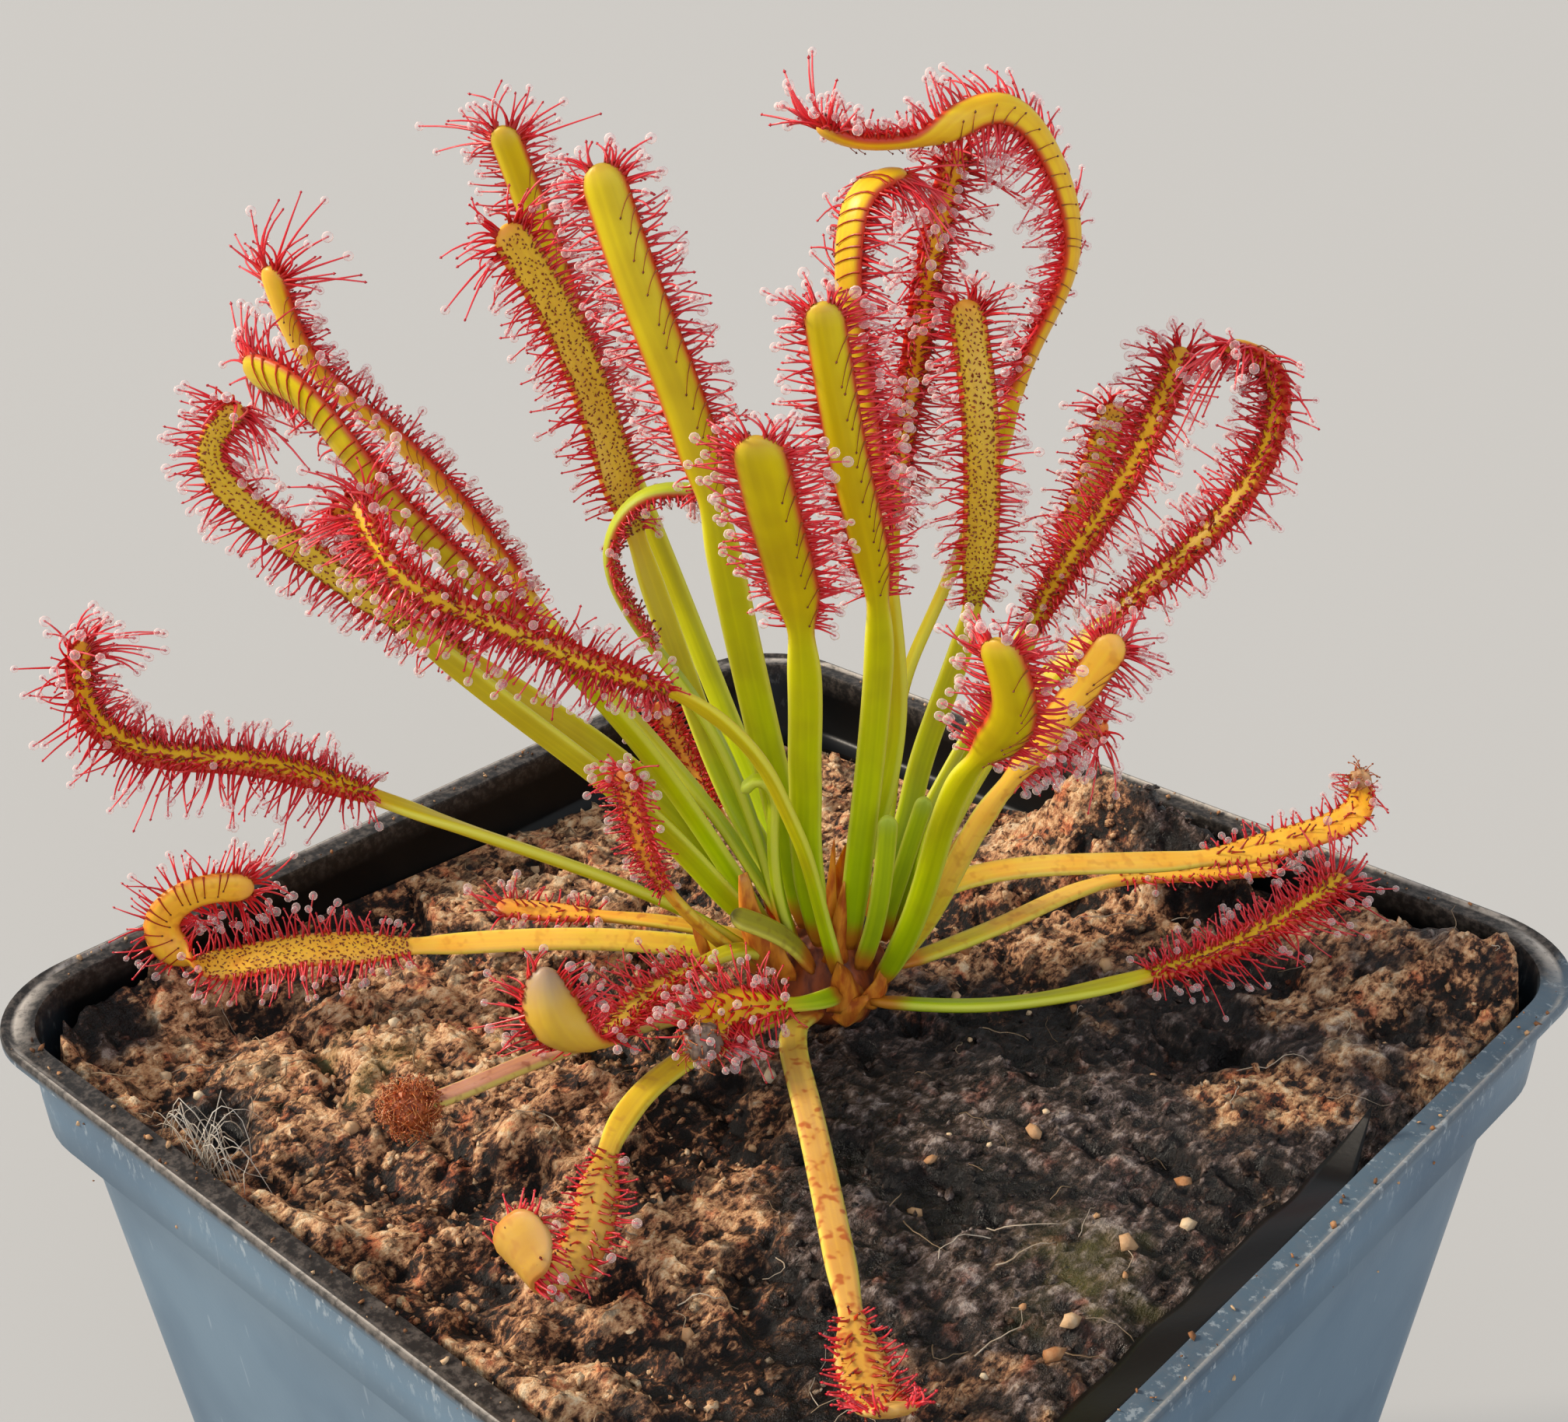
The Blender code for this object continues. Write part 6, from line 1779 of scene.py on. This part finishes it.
@dataclass
class SundewLeaf:
    """One leaf with its tentacles, drops and the stalks that lie across its back."""

    name: str
    leaf: Leaf
    track: Track
    seed: int
    sides: int = 12
    row_pitch: float = 0.54
    stalk_radius: float = 0.1
    drop_radius: float = 0.32
    head_radius: float = 0.11

    def __post_init__(self) -> None:
        """Its look, and the seeded source of its tentacles' differences."""
        self.look, self.rng = self.leaf.look, np.random.default_rng(self.seed)

    def body(self) -> Surface:
        """Petiole and blade: rings about the midrib.

        Each ring's point is half the width times cos along the side, and the thickness times
        sin along the face, with the sticky face's share on that side and the keel's on the back.

        Returns:
            The surface, with its marks.
        """
        track = self.track
        tip = track.length - track.tip_run * (1 - np.cos(np.radians([84, 72, 60, 48, 36, 24, 12, 4])))
        places = np.concatenate([np.arange(0, tip[0] - 0.2, 0.7), tip])
        point, _, side, face = track.at(places)
        width, thick = track.sizes(places)
        across, up = heading(-around(self.sides)).T
        opened = track.opened(places)
        # A shallow channel runs down the sticky face of the petiole
        channel = 0.2 * (1 - opened)[:, None] * np.exp(-(across / 0.45) ** 2) * (up > 0)
        height = (up * np.where(up > 0, FACE_SHARE, BACK_SHARE))[None] - channel
        rise = height * thick[:, None] + track.hollow(places[:, None], across[None])
        rings = (point[:, None] + side[:, None] * (width / 2)[:, None, None] * across[None, :, None]
                 + face[:, None] * rise[..., None])
        full = np.ones((len(places), self.sides))
        comb = (up > -0.01) * (self.look.face is Face.COMB)
        marks = {"across": across * full, "along": places[:, None] * full, "opened": opened[:, None] * full,
                 "to_tip": (track.length - places)[:, None] * full, "comb": comb * full}
        return lofted(rings, marks)

    def margins(self) -> Fringe:
        """Rows of tentacles along each margin, the longest on the brink and shorter ones inside.

        Each one's line is root + length * (aim * t + bend * t * t), where it leans out from the
        face's direction by the spread times how far across it roots, plus the skew.

        Returns:
            The tentacles.
        """
        look, rng = self.look, self.rng
        pitch = self.row_pitch * (1.6 if look.face is Face.SPARSE else 1)
        q, share = self.rows(pitch, np.array([-1, 1, -0.8, 0.8]), 0.25)
        lean = look.spread * q + look.skew + rng.normal(size=len(q)) * 9
        outer = np.abs(q) > 0.9
        size = look.edge * np.where(outer, 1.0, 0.74) * rng.uniform(0.7, 1.12, len(q))
        size = size * (0.55 + 0.45 * smoothstep(0.0, 0.25, share)) * (1 + look.uneven * np.sign(q))
        drops = look.drops * np.where(outer, 0.8, 0.3)
        return self.grown(q, share, lean, size, 5, drops, self.drop_radius)

    def inside(self) -> Fringe:
        """Short tentacles that stand close together between the margins and the clear midrib.

        Returns:
            The tentacles.
        """
        rng = self.rng
        q, share = self.rows(self.row_pitch, np.array([-0.6, 0.6, -0.4, 0.4]), 0.35)
        lean = 72 * q + self.look.skew + rng.normal(size=len(q)) * 12
        size = self.look.edge * np.where(np.abs(q) > 0.5, 0.46, 0.3) * rng.uniform(0.7, 1.15, len(q))
        return self.grown(q, share, lean, size, 3, 0.07 * self.look.drops, 0.85 * self.drop_radius)

    def middle(self) -> Fringe:
        """What grows on the middle of the sticky face, of the kind that its look names.

        A comb has short stalks that slant outwards to the tip, and a dotted face has dashes.

        Returns:
            The tentacles.
        """
        rng = self.rng
        length, pitch, half, dropped, lean, loose, places = self.look.face.value
        wide = self.track.sizes(np.array([self.track.length - 6.0]))[0][0]
        columns = np.linspace(-half, half, max(2, round(wide * half / pitch) + 1))
        q, share = self.rows(pitch, columns, 0.45)
        lean = lean * q + rng.normal(size=len(q)) * loose
        size = length * rng.uniform(0.6, 1.3, len(q))
        return self.grown(q, share, lean, size, places, dropped, self.drop_radius, 0.8)

    def rows(self, pitch: float, columns: Array, loose: float) -> tuple[Array, Array]:
        """Places across and along the blade.

        Args:
            pitch: mm between rows.
            columns: where each column lies, from -1 to 1.
            loose: how far each is moved along, as a share of the pitch.

        Returns:
            How far across each lies and how far along, in staggered rows.
        """
        rng = self.rng
        count = max(2, int(self.leaf.blade_length / pitch))
        row, column = np.meshgrid(np.arange(count), np.arange(len(columns)), indexing="ij")
        q = columns[column].ravel() + rng.uniform(-0.24, 0.24, row.size) * loose
        share = (row + 0.5 * (column % 2)).ravel() + rng.uniform(-loose, loose, row.size)
        return q, np.clip(share / count, 0, 1)

    def grown(self, q: Array, share: Array, lean: Array, length: Array, places: int,
              drops: float | Array, drop_radius: float, onwards: float = 0.1) -> Fringe:
        """Tentacles from places on the face.

        Args:
            q: how far across each roots, from -1 to 1.
            share: how far along the blade.
            lean: degrees from the face's direction towards the side's.
            length: length in mm.
            places: points on each line.
            drops: the chance that each has a drop.
            drop_radius: the drops' radius in mm.
            onwards: how far they lean on towards the tip.

        Returns:
            The tentacles.
        """
        rng = self.rng
        track, blade, count = self.track, self.leaf.blade_length, len(q)
        distance = track.length - blade + 0.4 + share * (blade - 0.4 - 0.4 * track.tip_run)
        point, tangent, side, face = track.at(distance)
        width, thick = track.sizes(distance)
        across = np.clip(q, -1, 1) * 0.95
        root = point + side * (0.5 * width * across)[:, None]
        root = root + face * (0.36 * thick * np.sqrt(1 - across ** 2) + track.hollow(distance, across))[:, None]
        turn = np.radians(lean)[:, None]
        forward = rng.normal(size=count) * 0.16 + onwards
        forward = forward + 0.8 * smoothstep(0.92, 1.0, share) - 0.5 * smoothstep(0.1, 0.0, share)
        aim = unit(np.cos(turn) * face + np.sin(turn) * side + forward[:, None] * tangent)
        bend = (face * (0.22 * np.abs(q) + rng.normal(size=count) * 0.14)[:, None] - (0, 0, 0.1)
                + tangent * (rng.normal(size=count) * 0.2)[:, None] + side * (rng.normal(size=count) * 0.14)[:, None])
        with_drop = rng.uniform(0, 1, count) < drops
        radius = np.where(with_drop, drop_radius * rng.uniform(0.72, 1.15, count), 0)
        return Fringe(bowed(root, aim, bend, length, places), tangent, self.stalk_radius, radius,
                      rng.uniform(0, 1, count), self.head_radius * (1 if places > 3 else 0.85))

    def fan(self) -> Fringe:
        """The longest tentacles, spread round the blade's tip and curled.

        Returns:
            The tentacles.
        """
        rng = self.rng
        count = 14 if self.look.face is Face.SPARSE else 30
        track = self.track
        spread = np.radians(np.linspace(-90, 90, count) + rng.normal(size=count) * 5)
        lift = rng.uniform(-0.2, 0.9, count)
        distance = track.length - track.tip_run * (1 - np.cos(spread) * 0.94)
        point, tangent, side, face = track.at(distance)
        aim = unit(np.cos(spread)[:, None] * tangent + np.sin(spread)[:, None] * side + lift[:, None] * face)
        root = point + side * (np.sign(spread) * 0.46 * track.sizes(distance)[0])[:, None]
        length = self.look.fan * rng.uniform(0.5, 1.1, count)
        bend = (face * rng.uniform(-0.2, 0.8, count)[:, None] + side * (rng.normal(size=count) * 0.35)[:, None]
                - (0, 0, 0.25))
        with_drop = rng.uniform(0, 1, count) < self.look.fan_drops
        radius = np.where(with_drop, self.drop_radius * rng.uniform(0.85, 1.25, count), 0)
        return Fringe(bowed(root, aim, bend, length, 6), side, self.stalk_radius * 1.1, radius,
                      rng.uniform(0, 0.6, count), self.head_radius * 1.1)

    def bent_back(self) -> Fringe:
        """Thin stalks that root at a margin and lie slantwise over the smooth back.

        Their place across goes from the margin towards the other side as t grows, and they
        stay just off the back's own arch of its share * thickness * square root of 1 - across^2.

        Returns:
            The stalks.
        """
        rng = self.rng
        track, blade, crossing = self.track, self.leaf.blade_length, self.look.crossing
        striped = abs(crossing) > 1
        count = int(blade / self.look.bent_back)
        share = (np.arange(count) + rng.uniform(-0.3, 0.3, count)) / count
        start = track.length - blade + 2.5 + share * (blade - 3.4)
        t = np.linspace(0, 1, 6)
        reach = abs(crossing) * rng.uniform(0.7, 1.15, count)
        across = np.sign(crossing) * np.clip(0.98 - reach[:, None] * t, -0.97, 0.98)
        slant = rng.uniform(0.7, 1.3, count) * self.look.slant
        distance = start[:, None] - slant[:, None] * t ** 1.4
        point, _, side, face = track.at(distance)
        width, thick = track.sizes(distance)
        off = BACK_SHARE * thick * np.sqrt(1 - across ** 2) + 0.05 + (0.03 if striped else 0.15) * t ** 2
        off = off - track.hollow(distance, across)
        lines = point + side * (across * width / 2)[..., None] - face * off[..., None]
        return Fringe(lines, face[:, 0], 0.068 if striped else 0.045, np.zeros(count), rng.uniform(0, 1, count), 0.09)

    def build(self) -> None:
        """The leaf's pieces: its body, its tentacles and its drops."""
        look, slot = self.look, self.leaf.slot
        add_piece(self.name + "_leaf", [(self.body(), look.tissue.value.material())],
                  ["leaf_" + self.name], turned=True)
        if look.face is Face.BARE:
            return
        middle, margins, fan = self.middle(), self.margins(), self.fan()
        fringes = [(margins, Stalks.RED, Glands.RED), (fan, Stalks.RED, Glands.RED)]
        if look.face is Face.DOTTED:
            middle.thick *= 0.66
            fringes.append((middle, Stalks.BROWN, None))
        else:
            fringes.append((middle, Stalks.RED if look.face is Face.LOOSE else Stalks.STUB, Glands.DARK))
        if look.face is Face.COMB:
            fringes.append((self.inside(), Stalks.RED, Glands.RED))
        if look.bent_back:
            stalk = Stalks.STRIPE if abs(look.crossing) > 1 else Stalks.BROWN
            fringes.append((self.bent_back(), stalk, Glands.DARK))
        bud, large = ball(4, 1), ball(8, 4)
        layers = [(fringe.stalks(3), stalk.value.material()) for fringe, stalk, _ in fringes]
        layers += [(fringe.glands(bud), gland.value.material()) for fringe, _, gland in fringes if gland]
        add_piece(self.name + "_tentacles", layers, turned=True)
        drops = [fringe.drops(large) for fringe, *_ in fringes if (fringe.drop > 0).any()]
        if drops:
            add_piece(self.name + "_drops", [(Surface.joined(drops), CLEAR_DROP.material())], turned=True)


@dataclass
class Crown:
    """The short stem: a corky dome on its stock, with dry papery sheaths round it."""

    radius: float = 4.8
    height: float = 6.6
    stock: float = 3.2
    depth: float = 8.0
    # Each sheath: middle of its base, apex, width in mm
    sheaths: tuple = (
        ((-6.0, -3.6, 5.4), (-6.9, -4.4, 13.6), 4.8), ((-4.6, -4.4, 4.6), (-4.4, -5.2, 9.4), 3.4),
        ((-9.6, -2.6, 4.4), (-10.6, -3.2, 9.2), 2.6), ((0.4, -3.6, 5.0), (1.0, -4.2, 12.8), 1.9),
        ((-0.2, -3.0, 8.0), (0.2, -3.4, 16.0), 1.1), ((1.6, -5.0, 1.8), (0.6, -6.0, 6.6), 3.2),
        ((3.4, -4.4, 1.6), (4.4, -5.0, 6.4), 2.6), ((5.2, -2.4, 3.6), (6.4, -3.0, 8.0), 2.0),
        ((0.8, -4.9, 0.4), (2.8, -5.8, 3.4), 3.0), ((4.8, 2.4, 4.0), (7.0, 4.0, 8.6), 2.2),
        ((0.6, 4.6, 4.6), (1.4, 6.6, 9.8), 2.4), ((-4.2, 3.6, 4.2), (-6.2, 5.8, 8.8), 2.4),
    )

    def sheath(self, base: Array, apex: Array, width: float, rng: Rng) -> Surface:
        """A papery triangle wrapped round the stem, with a creased face.

        Across it x goes from -1 to 1, and up it t from 0 to 1. Half its width is
        width / 2 * (1 - t) ^ 0.8, and it curls inwards by 0.35 * width * x^2.

        Args:
            base: the middle of its base.
            apex: its point.
            width: its width in mm.
            rng: the seeded source of its creases.

        Returns:
            The closed paper.
        """
        t, x = np.meshgrid(np.linspace(0, 1, 14), np.linspace(-1, 1, 9), indexing="ij")
        up = unit(apex - base)
        level = base * (1, 1, 0)
        out = unit(level - up * np.dot(level, up))
        across = np.cross(up, out)
        half = width / 2 * (1 - t) ** 0.8 * (1 + 0.1 * np.sin(9 * t + rng.uniform(0, 6))) + 0.04
        crease = 0.03 * np.sin(x * 7 + rng.uniform(0, 6)) + 0.04 * np.sin(t * 9 + rng.uniform(0, 6)) * x
        belly = 0.12 * np.sin(np.pi * t) * rng.uniform(-0.4, 0.8)
        fold = width * (crease * (1 - t) - 0.35 * x ** 2 * (1 - 0.6 * t) + belly)
        middle = base + t[..., None] * (apex - base) + across * (x * half)[..., None] + out * fold[..., None]
        front, back = middle + 0.06 * out, middle - 0.06 * out
        return lofted(np.concatenate([front, back[:, ::-1]], 1))

    def build(self) -> None:
        """The dome with its stock, and the sheaths."""
        turn = around(36)
        rise = np.linspace(0, np.pi / 2, 9)[1:-1]
        rings = [(self.stock, -self.depth), (self.stock, 0.0), (0.9 * self.radius, 0.05)]
        rings += [(self.radius * math.cos(a), self.height * math.sin(a)) for a in rise]
        grid = np.stack([at_height(r * heading(turn), z) for r, z in rings])
        grid[2:, :, :2] *= 1 + 0.05 * np.sin(5 * turn + 1)[None, :, None] + 0.03 * np.sin(11 * turn)[None, :, None]
        rng = np.random.default_rng(41)
        papers = [self.sheath(np.array(base), np.array(apex), width, rng) for base, apex, width in self.sheaths]
        add_piece("crown_stem", [(lofted(grid), CORKY.material())], ["crown"], turned=True)
        add_piece("crown_sheaths", [(Surface.joined(papers), SHEATH.material())], turned=True)


@dataclass
class WitheredTip:
    """A blade that has died back to a ball, with what is left of its tentacles."""

    name: str
    radius: float
    husk: DryTissue
    hairs: int

    def build(self, track: Track, seed: int) -> None:
        """A creased ball at the leaf's tip, furred with short curled stalks.

        Args:
            track: the leaf's midrib.
            seed: where its random differences start.
        """
        rng = np.random.default_rng(seed)
        shape = ball(22, 14)
        x, y, z = shape.points.T
        crease = 0.07 * np.sin(9 * x + 4 * z) + 0.06 * np.sin(13 * y + 2)
        middle = track.points[-1]
        shape.points = middle + shape.points * (self.radius * (0.95 + crease))[:, None]
        shape.marks = {key: np.ones(len(shape.points)) for key in ("height", "tone")}
        aim = unit(rng.normal(size=(self.hairs, 3)))
        curl = unit(np.cross(aim, rng.normal(size=(self.hairs, 3))))
        length = rng.uniform(0.5, 1.3, self.hairs)
        lines = bowed(middle + aim * self.radius * 0.95, aim, 0.8 * curl - 0.4 * aim, length, 5)
        fur = Fringe(lines, np.cross(aim, curl), 0.06, np.zeros(self.hairs), rng.uniform(0, 1, self.hairs), 0.1)
        layers = [(shape, self.husk.material()), (fur.stalks(3), Stalks.RUST.value.material()),
                  (fur.glands(ball(4, 1)), Glands.RUST.value.material())]
        add_piece(self.name + "_withered_tip", layers, turned=True)


@dataclass
class Studio:
    """A plain pale floor, soft lights and a camera at the photograph's place."""

    place: tuple = (0.0892, -0.0990, 0.1849)
    azimuth: float = 42.373
    elevation: float = 26.57
    roll: float = -0.445
    lens: float = 47.79
    sensor: float = 36.0
    clip: tuple = (0.005, 60.0)
    floor_half: float = 12.0
    sky: str = "#e8edf2"
    sky_strength: float = 0.66
    # Name, the direction in which it stands, degrees across, watts per square metre and colour
    lights: tuple = (("key", (-0.68, -0.52, 0.52), 12, 4.3, "#fff1de"),
                     ("fill", (0.75, -0.55, 0.4), 50, 1.0, "#eef2ff"))

    def add_floor(self) -> None:
        """A large flat sheet under the pot."""
        half = self.floor_half
        mesh = bpy.data.meshes.new("floor")
        mesh.from_pydata([(-half, -half, 0), (half, -half, 0), (half, half, 0), (-half, half, 0)], [], [(0, 1, 2, 3)])
        mesh.materials.append(PAPER.material())
        floor = bpy.data.objects.new("floor", mesh)
        bpy.context.scene.collection.objects.link(floor)

    def add_lights(self) -> None:
        """The far soft lights."""
        for name, towards, angle, power, colour in self.lights:
            lamp = bpy.data.lights.new(name, "SUN")
            lamp.angle, lamp.energy, lamp.color = math.radians(angle), power, linear(colour)[:3]
            light = bpy.data.objects.new(name, lamp)
            light.rotation_euler = Vector(towards).to_track_quat("Z", "Y").to_euler()
            bpy.context.scene.collection.objects.link(light)

    def add_camera(self) -> None:
        """The camera, turned to the photograph's azimuth, elevation and roll."""
        a, e, roll = (math.radians(v) for v in (self.azimuth, self.elevation, self.roll))
        back = Vector((math.sin(a) * math.cos(e), -math.cos(a) * math.cos(e), math.sin(e)))
        right = Vector((math.cos(a), math.sin(a), 0))
        up = back.cross(right)
        across, rise = right * math.cos(roll) + up * math.sin(roll), up * math.cos(roll) - right * math.sin(roll)
        data = bpy.data.cameras.new("camera")
        data.lens, data.sensor_width = self.lens, self.sensor
        data.clip_start, data.clip_end = self.clip
        camera = bpy.data.objects.new("camera", data)
        turn = Matrix((across, rise, back)).transposed().to_4x4()
        camera.matrix_world = Matrix.Translation(Vector(self.place)) @ turn
        bpy.context.scene.collection.objects.link(camera)
        bpy.context.scene.camera = camera

    def build(self) -> None:
        """The whole studio."""
        scene = bpy.context.scene
        scene.view_settings.view_transform = "Standard"
        world = bpy.data.worlds.new("soft_room")
        world.use_nodes = True
        sky = world.node_tree.nodes["Background"]
        sky.inputs["Color"].default_value, sky.inputs["Strength"].default_value = linear(self.sky), self.sky_strength
        scene.world = world
        self.add_floor()
        self.add_lights()
        self.add_camera()


def main() -> None:
    """Build the pot, the peat, the crown and every leaf, then the studio."""
    logging.basicConfig(level=logging.INFO, format="%(name)s: %(message)s")
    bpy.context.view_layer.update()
    Pot().build()
    Peat().build()
    Crown().build()
    rosette = Rosette()
    tips = {tip.name: tip for tip in (WitheredTip("front_dead", 1.6, RUSTY, 380),
                                      WitheredTip("front_folded", 1.5, HUSK, 60),
                                      WitheredTip("right_yellow", 0.9, TANNED, 30))}
    for seed, (name, path) in enumerate(rosette.settle().items()):
        leaf = LEAVES[name]
        track = Track(leaf, path, rosette)
        SundewLeaf(name, leaf, track, 100 + seed).build()
        if name in tips:
            tips[name].build(track, 200 + seed)
    Studio().build()


if __name__ == "__main__":
    main()
